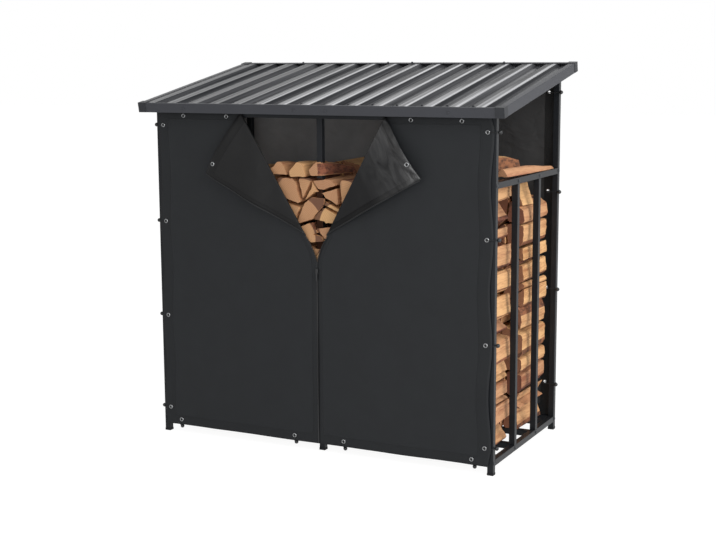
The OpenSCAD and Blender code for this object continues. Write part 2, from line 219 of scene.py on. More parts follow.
@dataclass(frozen=True)
class RolledSheet(Finish):
    """Coil-coated sheet out of a roll former, with a painted highlight: paler and shinier where the mesh
    marks the lit side of the ribs, dull in between.

    The rolls leave fine lines along the sheet, which show as streaks in the painted highlight and as a bump.
    Real ones lie under a millimetre apart. They are drawn 12 mm apart, as coarse as they need to be to show.
    """

    highlight_colour: str = "b4b5ba"
    line_mm: float = 12.0
    line_long: float = 125.0
    line_deep_mm: float = 0.3
    depth: float = 0.1
    highlight_streaks: float = 0.16
    falloff: float = 1.7
    shine: Point2 = (0.02, 0.6)

    def paint(self, tree: Tree) -> Look:
        """Adds the painted highlight, which the mesh carries, and the rolls' lines.

        Args:
            tree: the material's nodes.

        Returns:
            What the shader's inputs are given.
        """
        painted_highlight = add(tree, "Attribute", out="Fac", attribute_name="painted_highlight")
        place = add(tree, "TexCoord", out="Object")
        stretch = {0: place, 1: (1.0, 1 / self.line_long, 1 / self.line_long)}
        across = add(tree, "VectorMath", stretch, operation="MULTIPLY")
        lines = add(tree, "TexNoise", {"Vector": across, "Scale": scale(self.line_mm), "Detail": 2.0})
        # Painted highlight: the roll lines streak it lighter and darker.
        worn = add(tree, "MapRange", {"Value": lines, 1: 0.3, 2: 0.7, 3: -self.highlight_streaks, 4: self.highlight_streaks})
        held = add(tree, "Math", {0: painted_highlight, 1: worn}, operation="ADD", use_clamp=True)
        curve = add(tree, "Math", {0: held, 1: self.falloff}, operation="POWER")
        colour = self.tint(tree, self.highlight_colour, curve)
        level = add(tree, "MapRange", {"Value": curve, 3: self.shine[0], 4: self.shine[1]})
        relief = {"Height": lines, "Strength": self.depth, "Distance": self.line_deep_mm * MM}
        return {"Base Color": colour, SHEEN: level, "Normal": add(tree, "Bump", relief)}


@dataclass(frozen=True)
class CoatedCloth(Finish):
    """Woven cloth with a coat of plastic: a low sheen over a weave, soft creases and stitched hems.

    Real threads lie under a millimetre apart. They are drawn 3 mm apart, as coarse as they need to be
    to show.
    """

    other: str = "26282b"
    sheen: float = 0.15
    mottle_mm: float = 110.0
    weave_mm: float = 3.0
    weave_deep_mm: float = 0.4
    weave: float = 0.12
    crease_mm: float = 90.0
    crease_deep_mm: float = 10.0
    crease: float = 0.12
    hem_dark: float = 0.12
    hem_deep_mm: float = 1.5
    hem: float = 0.8
    stitch_mm: float = 9.0
    stitch_share: float = 0.7
    painted_light_mm: Point2 | None = None
    slack_mm: Point2 | None = None
    slack_sheen: float = 0.8
    wrinkle_mm: float = 41.67
    wrinkle_long: float = 0.32
    wrinkle_deep_mm: float = 14.0
    wrinkle: float = 0.6

    def paint(self, tree: Tree) -> Look:
        """Adds mottling, and the weave, the creases and the hems as bumps, all laid out on the flat cut.

        Args:
            tree: the material's nodes.

        Returns:
            What the shader's inputs are given.
        """
        cut = add(tree, "UVMap", uv_map="cut")
        mottle = {"Vector": cut, "Scale": scale(self.mottle_mm), "Detail": 4.0, "Roughness": 0.6}
        cloud = add(tree, "TexNoise", mottle)
        plain = self.tint(tree, self.other, cloud)
        hem, raised = self.hems(tree, cut)
        shade = add(tree, "Math", {0: hem, 1: -self.hem_dark, 2: 1.0}, operation="MULTIPLY_ADD")
        # Painted light: the colour grows paler across the cut, from the first of these distances to the
        # second.
        if self.painted_light_mm:
            across = add(tree, "SeparateXYZ", {0: cut})
            start, end = (at * MM for at in self.painted_light_mm)
            pale = add(tree, "MapRange", {"Value": across, 1: start, 2: end, 3: 0.7, 4: 2.8})
            shade = add(tree, "Math", {0: shade, 1: pale}, operation="MULTIPLY")
        toned = add(tree, "HueSaturation", {"Value": shade, "Color": plain})
        soft = {"Vector": cut, "Scale": scale(self.crease_mm), "Detail": 2.0, "Distortion": 0.6}
        fold = add(tree, "TexNoise", soft)
        creased = {"Height": fold, "Strength": self.crease, "Distance": self.crease_deep_mm * MM}
        low = add(tree, "Bump", creased)
        sheen = self.sheen
        if self.slack_mm:
            low, sheen = self.slacken(tree, cut, low)
        hemmed = {"Height": raised, "Strength": self.hem, "Distance": self.hem_deep_mm * MM, "Normal": low}
        seam = add(tree, "Bump", hemmed)
        # A wave texture repeats ten times in pi metres at a scale of 1.
        threads = {"Vector": cut, "Scale": math.pi / (10 * self.weave_mm * MM)}
        warp = add(tree, "TexWave", threads, bands_direction="X", out="Fac")
        weft = add(tree, "TexWave", threads, bands_direction="Y", out="Fac")
        both = add(tree, "Math", {0: warp, 1: weft}, operation="MULTIPLY")
        woven = {"Height": both, "Strength": self.weave, "Distance": self.weave_deep_mm * MM, "Normal": seam}
        return {"Base Color": toned, SHEEN: sheen, "Normal": add(tree, "Bump", woven)}

    def hems(self, tree: Tree, cut: Socket) -> tuple[Socket, Socket]:
        """Draws the hems, with a row of stitches beside each seam.

        Args:
            tree: the material's nodes.
            cut: the place on the flat cut.

        Returns:
            1 on a hem and 0 off it, and the hem's height with its thread sunk in.
        """
        rim = add(tree, "Attribute", out="Fac", attribute_name="rim")
        hem = add(tree, "MapRange", {"Value": rim, 1: 1.02, 2: 0.96})
        line = add(tree, "Math", {0: rim, 1: 0.86, 2: 0.05}, operation="COMPARE")
        along = add(tree, "VectorMath", {0: cut, 1: (1, 1, 0)}, operation="DOT_PRODUCT", out="Value")
        step = self.stitch_mm * MM
        beat = add(tree, "Math", {0: along, 1: step}, operation="MODULO")
        dash = add(tree, "Math", {0: beat, 1: step * self.stitch_share}, operation="LESS_THAN")
        thread = add(tree, "Math", {0: line, 1: dash}, operation="MULTIPLY")
        return hem, add(tree, "Math", {0: thread, 1: -0.7, 2: hem}, operation="MULTIPLY_ADD")

    def slacken(self, tree: Tree, cut: Socket, low: Socket) -> tuple[Socket, Socket]:
        """Adds tight, shiny wrinkles along the top of the cut, where the cloth was gathered.

        Args:
            tree: the material's nodes.
            cut: the place on the flat cut.
            low: the normal with the soft creases.

        Returns:
            The normal with the wrinkles added, and the sheen.
        """
        height = add(tree, "SeparateXYZ", {0: cut}, out="Y")
        start, end = (at * MM for at in self.slack_mm)
        near = add(tree, "MapRange", {"Value": height, 1: start, 2: end})
        drawn = add(tree, "VectorMath", {0: cut, 1: (self.wrinkle_long, 1.0, 1.0)}, operation="MULTIPLY")
        tight = {"Vector": drawn, "Scale": scale(self.wrinkle_mm), "Detail": 3.0, "Distortion": 1.0}
        wrinkle = add(tree, "TexNoise", tight)
        ridge = add(tree, "MapRange", {"Value": wrinkle, 1: 0.25, 2: 0.75})
        shiny = add(tree, "Math", {0: ridge, 1: near}, operation="MULTIPLY")
        level = add(tree, "Math", {0: shiny, 1: self.slack_sheen, 2: self.sheen}, operation="MULTIPLY_ADD")
        high = add(tree, "Math", {0: wrinkle, 1: near}, operation="MULTIPLY")
        relief = {"Height": high, "Strength": self.wrinkle, "Distance": self.wrinkle_deep_mm * MM}
        return add(tree, "Bump", {**relief, "Normal": low}), level


@dataclass(frozen=True)
class BareMetal(Finish):
    """Plated or stamped metal: it mirrors the room with a little blur."""

    def paint(self, tree: Tree) -> Look:
        """Makes the surface metallic."""
        return {"Metallic": 1.0}


@dataclass(frozen=True)
class SawnEnd(Finish):
    """Sawn end grain: pale wood with darker growth rings round the pith, drying cracks and a rim of bark.

    Real rings lie 2 to 4 mm apart. They are drawn 7 mm apart, as coarse as they need to be to show.
    """

    ring: str = "a87444"
    rim: str = "5a3827"
    ring_mm: float = 7.0
    wobble_mm: float = 33.33
    rays: float = 4.5
    bark_mm: Point2 = (6.0, 3.0)
    saw_mm: float = 3.846
    saw_deep_mm: float = 1.5
    saw: float = 0.5

    def paint(self, tree: Tree) -> Look:
        """Adds rings by distance from the pith, cracks along the rays and the bark's rim.

        Args:
            tree: the material's nodes.

        Returns:
            What the shader's inputs are given.
        """
        wood = add(tree, "Attribute", out="Vector", attribute_name="wood")
        flat = add(tree, "VectorMath", {0: wood, 1: (1, 0, 1)}, operation="MULTIPLY")
        far = add(tree, "VectorMath", {0: flat}, operation="LENGTH", out="Value")
        base = self.rings(tree, wood, far)
        way = add(tree, "VectorMath", {0: flat}, operation="NORMALIZE")
        tone = add(tree, "Attribute", out="Fac", attribute_name="tone")
        ray = add(tree, "VectorMath", {0: way, 1: tone}, operation="ADD")
        crack = add(tree, "TexNoise", {"Vector": ray, "Scale": self.rays, "Detail": 4.0})
        slit = add(tree, "MapRange", {"Value": crack, 1: 0.66, 2: 0.7, 4: 0.5})
        girth = add(tree, "Attribute", out="Fac", attribute_name="girth")
        inner = add(tree, "Math", {0: girth, 1: far}, operation="SUBTRACT")
        start, end = (at * MM for at in self.bark_mm)
        bark = add(tree, "MapRange", {"Value": inner, 1: start, 2: end, 4: 0.9})
        dark = add(tree, "Math", {0: slit, 1: bark}, operation="MAXIMUM")
        both = {0: dark, 6: log_tone(tree, base), 7: linear(self.rim)}
        colour = add(tree, "Mix", both, out=2, data_type="RGBA")
        rough = add(tree, "TexNoise", {"Vector": wood, "Scale": scale(self.saw_mm), "Detail": 2.0})
        high = add(tree, "Math", {0: rough, 1: dark}, operation="SUBTRACT")
        relief = {"Height": high, "Strength": self.saw, "Distance": self.saw_deep_mm * MM}
        return {"Base Color": colour, "Normal": add(tree, "Bump", relief)}

    def rings(self, tree: Tree, wood: Socket, far: Socket) -> Socket:
        """Draws the growth rings, a little out of round.

        Args:
            tree: the material's nodes.
            wood: the place in the log.
            far: the distance from the pith.

        Returns:
            The wood's colour with its rings.
        """
        wobble = add(tree, "TexNoise", {"Vector": wood, "Scale": scale(self.wobble_mm), "Detail": 3.0})
        turn = add(tree, "Math", {0: far, 1: 2 * math.pi / (self.ring_mm * MM)}, operation="MULTIPLY")
        shift = add(tree, "Math", {0: wobble, 1: 7.0, 2: turn}, operation="MULTIPLY_ADD")
        wave = add(tree, "Math", {0: shift}, operation="SINE")
        share = add(tree, "Math", {0: wave, 1: 0.22, 2: 0.3}, operation="MULTIPLY_ADD")
        return self.tint(tree, self.ring, share)


@dataclass(frozen=True)
class LogSide(Finish):
    """The side of a log: torn fibres, or plates of bark, drawn out along it between darker streaks.

    Real fibres are a fraction of a millimetre wide. They are drawn 5 mm wide, as coarse as they need to
    be to show. Bark has no broad streaks, so its broad share is 0.
    """

    streak: str = "8a4f2c"
    grain_mm: float = 5.0
    grain_long: float = 14.0
    grain_deep_mm: float = 2.0
    detail: float = 4.0
    torn: float = 0.65
    depth: float = 0.6
    broad_share: float = 0.17
    streak_span: Point2 = (0.92, 1.3)
    streak_dark: float = 0.8

    def paint(self, tree: Tree) -> Look:
        """Adds the streaks, and the grain as a bump.

        Args:
            tree: the material's nodes.

        Returns:
            What the shader's inputs are given.
        """
        wood = add(tree, "Attribute", out="Vector", attribute_name="wood")
        grain = scale(self.grain_mm)
        stretch = {0: wood, 1: (grain, grain / self.grain_long, grain)}
        along = add(tree, "VectorMath", stretch, operation="MULTIPLY")
        fine = {"Vector": along, "Scale": 1.0, "Detail": self.detail, "Roughness": self.torn}
        fibre = add(tree, "TexNoise", fine)
        streaks = fibre
        if self.broad_share:
            broad = add(tree, "TexNoise", {"Vector": along, "Scale": self.broad_share, "Detail": 2.0})
            streaks = add(tree, "Math", {0: fibre, 1: broad}, operation="ADD")
        low, high = self.streak_span
        share = add(tree, "MapRange", {"Value": streaks, 1: low, 2: high, 4: self.streak_dark})
        colour = log_tone(tree, self.tint(tree, self.streak, share))
        relief = {"Height": fibre, "Strength": self.depth, "Distance": self.grain_deep_mm * MM}
        return {"Base Color": colour, "Normal": add(tree, "Bump", relief)}


def log_tone(tree: Tree, colour: Socket) -> Socket:
    """Makes each log a little paler, darker or redder than the next.

    Args:
        tree: the material's nodes.
        colour: the wood's colour.

    Returns:
        The colour changed by the log's own tone.
    """
    tone = add(tree, "Attribute", out="Fac", attribute_name="tone")
    bright = add(tree, "MapRange", {"Value": tone, 3: LOG_LIGHT[0], 4: LOG_LIGHT[1]})
    hue = add(tree, "MapRange", {"Value": tone, 3: LOG_HUE[0], 4: LOG_HUE[1]})
    return add(tree, "HueSaturation", {"Hue": hue, "Value": bright, "Color": colour})


# Baked paint: near black, with a soft gloss that draws the tubes' edges.
FRAME_PAINT = SprayedPaint("steel tube, sprayed and baked", "1e2023", 0.38, other="1a1c1f", sheen=0.15)
# Coil coating: dull grey in the pans, with painted highlights as bright bands along the ribs.
ROOF_PAINT = RolledSheet("steel sheet, coil coated and rolled", "28292c", 0.3)
# The same coating on bent strip: an even satin grey, paler than the sheets.
TRIM_PAINT = SprayedPaint(
    "steel strip, coil coated and bent", "424347", 0.45, other="3d3e42", depth=0.04, sheen=0.1
)
# Grained polypropylene: matt, a shade darker than the trim beside it.
CAP_PLASTIC = SprayedPaint(
    "polypropylene, moulded with a fine grain", "343538", 0.5, other="2f3033", depth=0.1, sheen=0.14
)
# Moulded polyethylene: near black and waxy.
FOOT_PLASTIC = SprayedPaint("polyethylene, moulded", "1c1d1f", 0.5, other="202123", depth=0.1, sheen=0.1)
# The coat outside: an even dark grey with hardly any shine.
CLOTH_OUTSIDE = CoatedCloth("polyester weave, coated outside", "26282a", 0.6, other="222325")
# The coat inside: darker, smoother and more creased.
CLOTH_INSIDE = CoatedCloth(
    "polyester weave, coated inside", "222222", 0.5, other="1b1b1c", crease=0.4, sheen=0.12, hem_dark=0.2
)
# The same, gathered along the top: wrinkles that catch the window. Its darker hems are a real hem, deepened
# as painted shadow along the flap's edges.
FLAP_INSIDE = CoatedCloth(
    "polyester weave, coated inside and creased",
    "202021",
    0.34,
    other="1b1b1c",
    crease=0.4,
    sheen=0.1,
    hem_dark=0.45,
    slack_mm=(1150, 1330),
)
# The rear cover's inside: a mid grey, lighter than the curtains' inside as painted light and paler still to
# one side as painted light, with deep creases.
COVER_INSIDE = CoatedCloth(
    "polyester weave, coated inside, with painted light",
    "565656",
    0.6,
    other="444445",
    crease=0.9,
    sheen=0.15,
    hem_dark=0.6,
    painted_light_mm=(450, 800),
)
# Nickel plate: small bright rings with a blurred mirror.
EYELET_METAL = BareMetal("steel eyelet, stamped and nickel plated", "8d8e8f", 0.28)
# Black oxide: dark heads with a dull gleam.
BOLT_PAINT = SprayedPaint("steel bolt, blackened", "26282b", 0.4)
# Braid over rubber: black, with no gleam.
CORD_RUBBER = Finish("elastic cord, braided polyester", "101113", 0.8)
# Moulded nylon: black, with one soft highlight.
BALL_PLASTIC = Finish("nylon ball, moulded", "141517", 0.35)
# Moulded acetal: black, with a fine glitter along the row of teeth.
ZIP_PLASTIC = Finish("acetal zip, moulded teeth", "141517", 0.45)
# Fresh saw cuts: pale tan with soft rings.
END_GRAIN = SawnEnd("beech, sawn across", "bf966d", 0.8)
# Saw cuts in the rear rows: reddish brown, darkened as painted shade.
SHADED_GRAIN = SawnEnd("beech, sawn across, in painted shade", "8f5f45", 0.85, ring="6e422d")
# Split faces: warm and pale, streaked along the fibre.
SPLIT_WOOD = LogSide("beech, split with an axe", "d0a070", 0.75)
# Bark: dull brown, with a broken surface.
BARK = LogSide(
    "beech bark, dried", "8e5a3c", 0.9, streak="43281c", grain_mm=16.0, grain_long=3.0, grain_deep_mm=4.0,
    detail=5.0, torn=0.7, depth=0.8, broad_share=0.0, streak_span=(0.56, 0.4), streak_dark=0.9,
)
# A near-black sliver in the gap between the bays: painted shade over the middle post.
SHADE_SLIVER_FINISH = Finish("near-black sliver, painted shade", "2e1c14", 0.9, sheen=0.05)


def place(name: str, data: bpy.types.ID) -> Thing:
    """Makes an object and puts it in the scene.

    Args:
        name: the object's name.
        data: its mesh, camera or light.

    Returns:
        The object.
    """
    made = bpy.data.objects.new(name, data)
    bpy.context.scene.collection.objects.link(made)
    return made


@dataclass
class Shape:
    """A mesh in the making: points, faces, and the material number of each face."""

    points: list = field(default_factory=list)
    faces: list = field(default_factory=list)
    slots: list = field(default_factory=list)

    def grow(self, points: Iterable, faces: Iterable[Sequence[int]], slot: int = 0) -> None:
        """Adds points, and faces that count from the first of them.

        Args:
            points: places in metres.
            faces: point numbers of each face.
            slot: the faces' material number.
        """
        start = len(self.points)
        self.points.extend(points)
        fresh = [tuple(start + k for k in face) for face in faces]
        self.faces.extend(fresh)
        self.slots.extend([slot] * len(fresh))

    def lathe(self, profile: Sequence[Point2], at: Vector, axis: Vector, sides: int = 20) -> None:
        """Adds a turned form.

        Args:
            profile: radius and height pairs; a radius of 0 closes an end.
            at: where height 0 lies on the axis.
            axis: the direction of height.
            sides: the number of sides.
        """
        turn = axis.normalized().to_track_quat("Z", "Y")
        rows = []
        points = []
        for radius, height in profile:
            count = 1 if radius == 0 else sides
            rows.append(range(len(points), len(points) + count))
            for k in range(count):
                angle = 2 * math.pi * k / sides
                spot = Vector((radius * math.cos(angle), radius * math.sin(angle), height))
                points.append(at + turn @ spot)
        faces = []
        for low, high in zip(rows, rows[1:]):
            for k in range(sides):
                ring = [low[k % len(low)], low[(k + 1) % len(low)]]
                ring += [high[(k + 1) % len(high)], high[k % len(high)]]
                faces.append(list(dict.fromkeys(ring)))
        self.grow(points, [f for f in faces if len(f) > 2])

    def sweep(self, path: Sequence[Vector], radius: float, closed: bool = False, sides: int = 8) -> None:
        """Adds a round cord along a path.

        Args:
            path: points on the cord's middle line.
            radius: half the cord's thickness.
            closed: True for a loop.
            sides: the number of sides.
        """
        count = len(path)
        side = None
        points = []
        for k, spot in enumerate(path):
            before = path[(k - 1) % count] if closed or k else spot
            after = path[(k + 1) % count] if closed or k < count - 1 else spot
            way = (after - before).normalized()
            if side is None:
                side = way.orthogonal().normalized()
            side = (side - way * side.dot(way)).normalized()
            up = way.cross(side)
            for j in range(sides):
                angle = 2 * math.pi * j / sides
                points.append(spot + radius * (math.cos(angle) * side + math.sin(angle) * up))
        last = count if closed else count - 1
        faces = [
            (
                k * sides + j,
                k * sides + (j + 1) % sides,
                ((k + 1) % count) * sides + (j + 1) % sides,
                ((k + 1) % count) * sides + j,
            )
            for k in range(last)
            for j in range(sides)
        ]
        if not closed:
            faces += [tuple(reversed(range(sides))), tuple(range((count - 1) * sides, count * sides))]
        self.grow(points, faces)

    def block(self, at: Vector, half: Vector, turn: Matrix | None = None) -> None:
        """Adds a box.

        Args:
            at: its centre.
            half: half its size along each of its axes.
            turn: its rotation, or None where it lies square.
        """
        turn = turn or Matrix.Identity(3)
        ways = [(x, y, z) for x in (-1, 1) for y in (-1, 1) for z in (-1, 1)]
        spots = [at + turn @ Vector((x * half.x, y * half.y, z * half.z)) for x, y, z in ways]
        sides = [(0, 1, 3, 2), (4, 6, 7, 5), (0, 4, 5, 1), (2, 3, 7, 6), (0, 2, 6, 4), (1, 5, 7, 3)]
        self.grow(spots, sides)

    def piece(self, name: str, slot: Slot, finishes: Sequence[Finish], sharp: float = SHARP) -> Thing:
        """Makes the object and lets it ride on the frame.

        Args:
            name: the piece's name.
            slot: not used.
            finishes: its finishes, in the order of their numbers.
            sharp: the angle in degrees above which an edge stays sharp.

        Returns:
            The new object.
        """
        mesh = bpy.data.meshes.new(name)
        mesh.from_pydata([tuple(p) for p in self.points], [], self.faces)
        for finish in finishes:
            mesh.materials.append(finish.material())
        mesh.polygons.foreach_set("material_index", self.slots)
        mesh.polygons.foreach_set("use_smooth", [True] * len(mesh.polygons))
        mesh.set_sharp_from_angle(angle=math.radians(sharp))
        made = place(name, mesh)
        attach(made, "root")
        return made


@dataclass
class SteelFrame:
    """The tube frame, its feet, and the bolts that join it."""

    tube: float = 25 * MM
    bend: float = 2.5 * MM
    foot_bend: float = 1.5 * MM
    bolt_r: float = 6.5 * MM
    bolt_h: float = 3.6 * MM
    washer_lap: float = 1.5 * MM
    washer_h: float = 0.8 * MM

    def dress(self) -> None:
        """Paints the tubes and the feet, and rounds their edges."""
        for name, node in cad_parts.items():
            if name == "post_feet":
                paint(node, FOOT_PLASTIC, Slot.FEET, self.foot_bend)
            elif name.endswith(("_post", "_rail", "_rafter", "_bars", "_bearers")):
                paint(node, FRAME_PAINT, Slot.FRAME, self.bend)

    def build(self) -> Thing:
        """Adds a domed bolt at each joint of the corner posts and the side bars.

        Returns:
            The bolts as one piece.
        """
        shape = Shape()
        rails = (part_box("bottom_left_rail"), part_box("left_side_rail"))
        heights = [(low[2] + high[2]) / 2 for low, high in rails]
        washer_r = self.bolt_r + self.washer_lap
        dome = [(washer_r, 0.0), (washer_r, self.washer_h), (self.bolt_r, self.washer_h)]
        dome += [(self.bolt_r * 0.85, self.bolt_h * 0.7), (self.bolt_r * 0.5, self.bolt_h)]
        dome.append((0.0, self.bolt_h))
        for side, name in ((-1, "left"), (1, "right")):
            places = []
            for end in ("front", "rear"):
                low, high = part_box(f"{end}_{name}_post")
                places.append((high[0] if side > 0 else low[0], (low[1] + high[1]) / 2))
            low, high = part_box(f"{name}_side_bars")
            for y in (low[1] + self.tube / 2, high[1] - self.tube / 2):
                places.append((high[0] if side > 0 else low[0], y))
            for x, y in places:
                for z in heights:
                    shape.lathe(dome, Vector((x, y, z)), Vector((side, 0, 0)))
        return shape.piece("frame_bolts", Slot.FRAME, [BOLT_PAINT])


def paint(node: Thing, finish: Finish, slot: Slot, bend: float) -> None:
    """Gives a CAD node its finish, and rounds its edges.

    Args:
        node: the CAD node's object.
        finish: its finish.
        slot: not used.
        bend: the radius of its rounded edges.
    """
    node.data.materials.clear()
    node.data.materials.append(finish.material())
    node.modifiers.new("weld", "WELD").merge_threshold = WELD
    rounded = node.modifiers.new("bend", "BEVEL")
    rounded.width = bend
    rounded.segments = 2
    rounded.limit_method = "ANGLE"
    rounded.angle_limit = math.radians(SHARP)
    rounded.harden_normals = True


@dataclass
class Roof:
    """The ribbed sheets, their trim, caps and screws, laid out on the slope of the roof.

    The painted highlight on a rib's crown goes by the distance from its middle, as a share of half its width.
    """

    width: float = 1655 * MM
    front: Point2 = (-445 * MM, 1445 * MM)
    fall: float = math.radians(10.45)
    length: float = 897.3 * MM
    bend: float = 3 * MM
    rim: float = 1 * MM
    steps: int = 6
    cap: float = 2 * MM
    cap_bend: float = 0.8 * MM
    trim_h: float = 40 * MM
    trim_lap: float = 26 * MM
    trim_gap: float = 0.2 * MM
    trim_gauge: float = 1.2 * MM
    front_lap: float = 9 * MM
    edge: float = 3.4 * MM
    gauge: float = 0.8 * MM
    pitch: float = 107 * MM
    lap_x: float = -27 * MM
    lap: float = 4 * MM
    rib_h: float = 13 * MM
    rib_top: float = 48 * MM
    rib_side: float = 8 * MM
    drops: Point2 = (16.4 * MM, 17.4 * MM)
    crown_highlight: dict[float, float] = field(
        default_factory=lambda: {-0.6: 0.0, 0.0: 0.0, 0.2: 0.35, 0.35: 0.75, 0.6: 0.88, 0.8: 0.65, 0.92: 0.2}
    )
    bend_highlight: float = 0.1
    pan_highlight: float = 0.18
    front_highlight: float = 0.42
    front_crown: Point2 = (-0.7, 0.9)
    front_y: Point2 = (-200 * MM, 90 * MM)
    even_highlight: float = 0.16
    even_x: Point2 = (-450 * MM, -80 * MM)
    head_mm: tuple[Point2, ...] = ((6.5, 0.0), (6.5, 1.0), (4.2, 1.4), (4.2, 4.2), (3.4, 4.8), (0.0, 4.8))
    screw_sides: int = 12
    trim_screws: Row = (-500 * MM, -60 * MM, 60 * MM, 500 * MM)
    rear_screw_in: float = 15 * MM
    front_screw_down: float = 22 * MM
    front_screw_spread: float = 1.2
    pan_screws_in: Point2 = (88 * MM, 60 * MM)

    def lay(self, x: float, v: float, w: float) -> Vector:
        """Places a point of the slope.

        Args:
            x: distance to the right of the middle.
            v: distance up the slope from the front top edge.
            w: height above the roof's top face.

        Returns:
            The point in the row frame.
        """
        c, s = math.cos(self.fall), math.sin(self.fall)
        return Vector((x, self.front[0] + v * c - w * s, self.front[1] + v * s + w * c))

    def section(self, left: bool) -> list[Point2]:
        """Draws one sheet across the slope, its bends still sharp.

        Args:
            left: True for the left sheet, which laps over the right one.

        Returns:
            The corners of its top face, from left to right.
        """
        low = -self.drops[0 if left else 1]
        half = self.width / 2 - self.edge
        foot = self.rib_top / 2 + self.rib_side
        start, end = (-half, self.lap_x + foot + self.lap) if left else (self.lap_x - foot - self.lap, half)
        count = math.ceil(self.width / self.pitch / 2) + 1
        crown = [(share * self.rib_top / 2, self.rib_h) for share in (-1.0, *self.crown_highlight, 1.0)]
        corners = [(start, low)]
        for k in range(-count, count + 1):
            x = self.lap_x + k * self.pitch
            for dx, up in ((-foot, 0), *crown, (foot, 0)):
                if start < x + dx < end:
                    corners.append((x + dx, low + up))
        return corners + [(end, corners[-1][1])]

    def painted_highlight(self, at: Vector) -> float:
        """Tells how much painted highlight the sheet gets: most along the right of a rib's crown, and wider
        to the front.

        The painted highlight falls off to the left, to an even level.

        Args:
            at: a point in the row frame.

        Returns:
            0 for dull to 1 for fully highlighted.
        """
        along = ((at.x - self.lap_x) / self.pitch + 0.5) % 1.0 - 0.5
        crown, foot = self.rib_top / 2 / self.pitch, (self.rib_top / 2 + self.rib_side) / self.pitch
        stops = [-foot, -crown, *(share * crown for share in self.crown_highlight), crown, foot]
        levels = [self.pan_highlight, 0.0, *self.crown_highlight.values(), self.bend_highlight, self.pan_highlight]
        fresh = float(np.interp(along, stops, levels))
        if self.front_crown[0] * crown < along < self.front_crown[1] * crown:
            fresh = max(fresh, self.front_highlight - self.front_highlight * smooth(*self.front_y, at.y))
        return self.even_highlight + (fresh - self.even_highlight) * smooth(*self.even_x, at.x)

    def strip(
        self, shape: Shape, corners: Sequence[Point2], lay: Callable[[Point2, float], Vector], ends: Point2
    ) -> None:
        """Adds a strip of bent sheet.

        Args:
            shape: the mesh it is added to.
            corners: its section, with sharp bends.
            lay: puts a point of the section, and a distance along the strip, in the row frame.
            ends: where the strip starts and ends.
        """
        line = rounded_line(corners, self.bend)
        # A second row by each edge keeps the sheet's thin rim from shading its face.
        for at, rim, near in ((1, *line[:2]), (-1, *line[:-3:-1])):
            way = (Vector(near) - Vector(rim)).normalized()
            line.insert(at, tuple(Vector(rim) + way * self.rim))
        start, end = ends[0] + self.rim, ends[1] - self.rim
        inner = [start + (end - start) * k / self.steps for k in range(self.steps + 1)]
        rows = [ends[0], *inner, ends[1]]
        count = len(line)
        shape.grow(
            [lay(p, at) for at in rows for p in line],
            [
                (r * count + k, r * count + k + 1, (r + 1) * count + k + 1, (r + 1) * count + k)
                for r in range(len(rows) - 1)
                for k in range(count - 1)
            ],
        )

    def sheets(self) -> None:
        """Rolls the two sheets."""
        for name in ("left", "right"):
            shape = Shape()
            self.strip(
                shape,
                self.section(name == "left"),
                lambda p, at: self.lay(p[0], at, p[1]),
                (self.edge, self.length - self.edge),
            )
            made = shape.piece(f"{name}_rolled_sheet", Slot.ROOF, [ROOF_PAINT], ROUND)
            # Painted highlight: a paler colour and more sheen along the lit side of the ribs.
            layer = made.data.attributes.new("painted_highlight", "FLOAT", "POINT")
            layer.data.foreach_set("value", [self.painted_highlight(p) for p in shape.points])
            thicken(made, self.gauge, -1.0)
            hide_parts(f"{name}_roof_sheet")

    def trims(self) -> None:
        """Bends the four trims."""
        half = self.width / 2
        bent = [(self.cap, -self.cap - self.trim_h), (self.cap, -self.cap)]
        across = (-half + self.cap, half - self.cap)
        start = self.cap + self.trim_lap + self.trim_gap
        up = (start, self.length - start)
        places = {
            "front_fascia": (lambda p, at: self.lay(at, p[0], p[1]), across, True),
            "rear_fascia": (lambda p, at: self.lay(at, self.length - p[0], p[1]), across, False),
            "left_verge": (lambda p, at: self.lay(p[0] - half, at, p[1]), up, False),
            "right_verge": (lambda p, at: self.lay(half - p[0], at, p[1]), up, True),
        }
        for name, (lay, ends, turned) in places.items():
            shape = Shape()
            lip = self.front_lap if name == "front_fascia" else self.trim_lap
            self.strip(shape, [*bent, (self.cap + lip, -self.cap)], lay, ends)
            if turned:
                shape.faces = [f[::-1] for f in shape.faces]
            made = shape.piece(f"{name}_bent", Slot.TRIM, [TRIM_PAINT], ROUND)
            thicken(made, self.trim_gauge, -1.0)
            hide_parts(name)

    def screws(self) -> None:
        """Adds the screws of the rear trim, the front trim and the sheets."""
        shape = Shape()
        head = [(radius * MM, height * MM) for radius, height in self.head_mm]
        up = self.lay(0, 0, 1) - self.lay(0, 0, 0)
        out = self.lay(0, -1, 0) - self.lay(0, 0, 0)
        for x in self.trim_screws:
            at = self.lay(x, self.length - self.rear_screw_in, -self.cap)
            shape.lathe(head, at, up, self.screw_sides)
            at = self.lay(x * self.front_screw_spread, self.cap, -self.front_screw_down)
            shape.lathe(head, at, out, self.screw_sides)
        pans = int(self.width / 2 / self.pitch)
        for k in range(-pans, pans):
            x = self.lap_x + (k + 0.5) * self.pitch
            low = -self.drops[0 if x < self.lap_x else 1]
            for v in (self.pan_screws_in[0], self.length - self.pan_screws_in[1]):
                shape.lathe(head, self.lay(x, v, low), up, self.screw_sides)
        shape.piece("roof_screws", Slot.TRIM, [TRIM_PAINT])

    def build(self) -> None:
        """Makes the sheets, trims and screws, and paints the caps."""
        self.sheets()
        self.trims()
        self.screws()
        paint(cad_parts["roof_corner_caps"], CAP_PLASTIC, Slot.CAPS, self.cap_bend)


def thicken(made: Thing, gauge: float, offset: float) -> bpy.types.SolidifyModifier:
    """Gives a thin sheet its thickness.

    Args:
        made: the sheet's object.
        gauge: its thickness.
        offset: -1 to grow below the mesh's face, 0 to grow to both sides.

    Returns:
        The modifier.
    """
    solid = made.modifiers.new("gauge", "SOLIDIFY")
    solid.thickness = gauge
    solid.offset = offset
    return solid


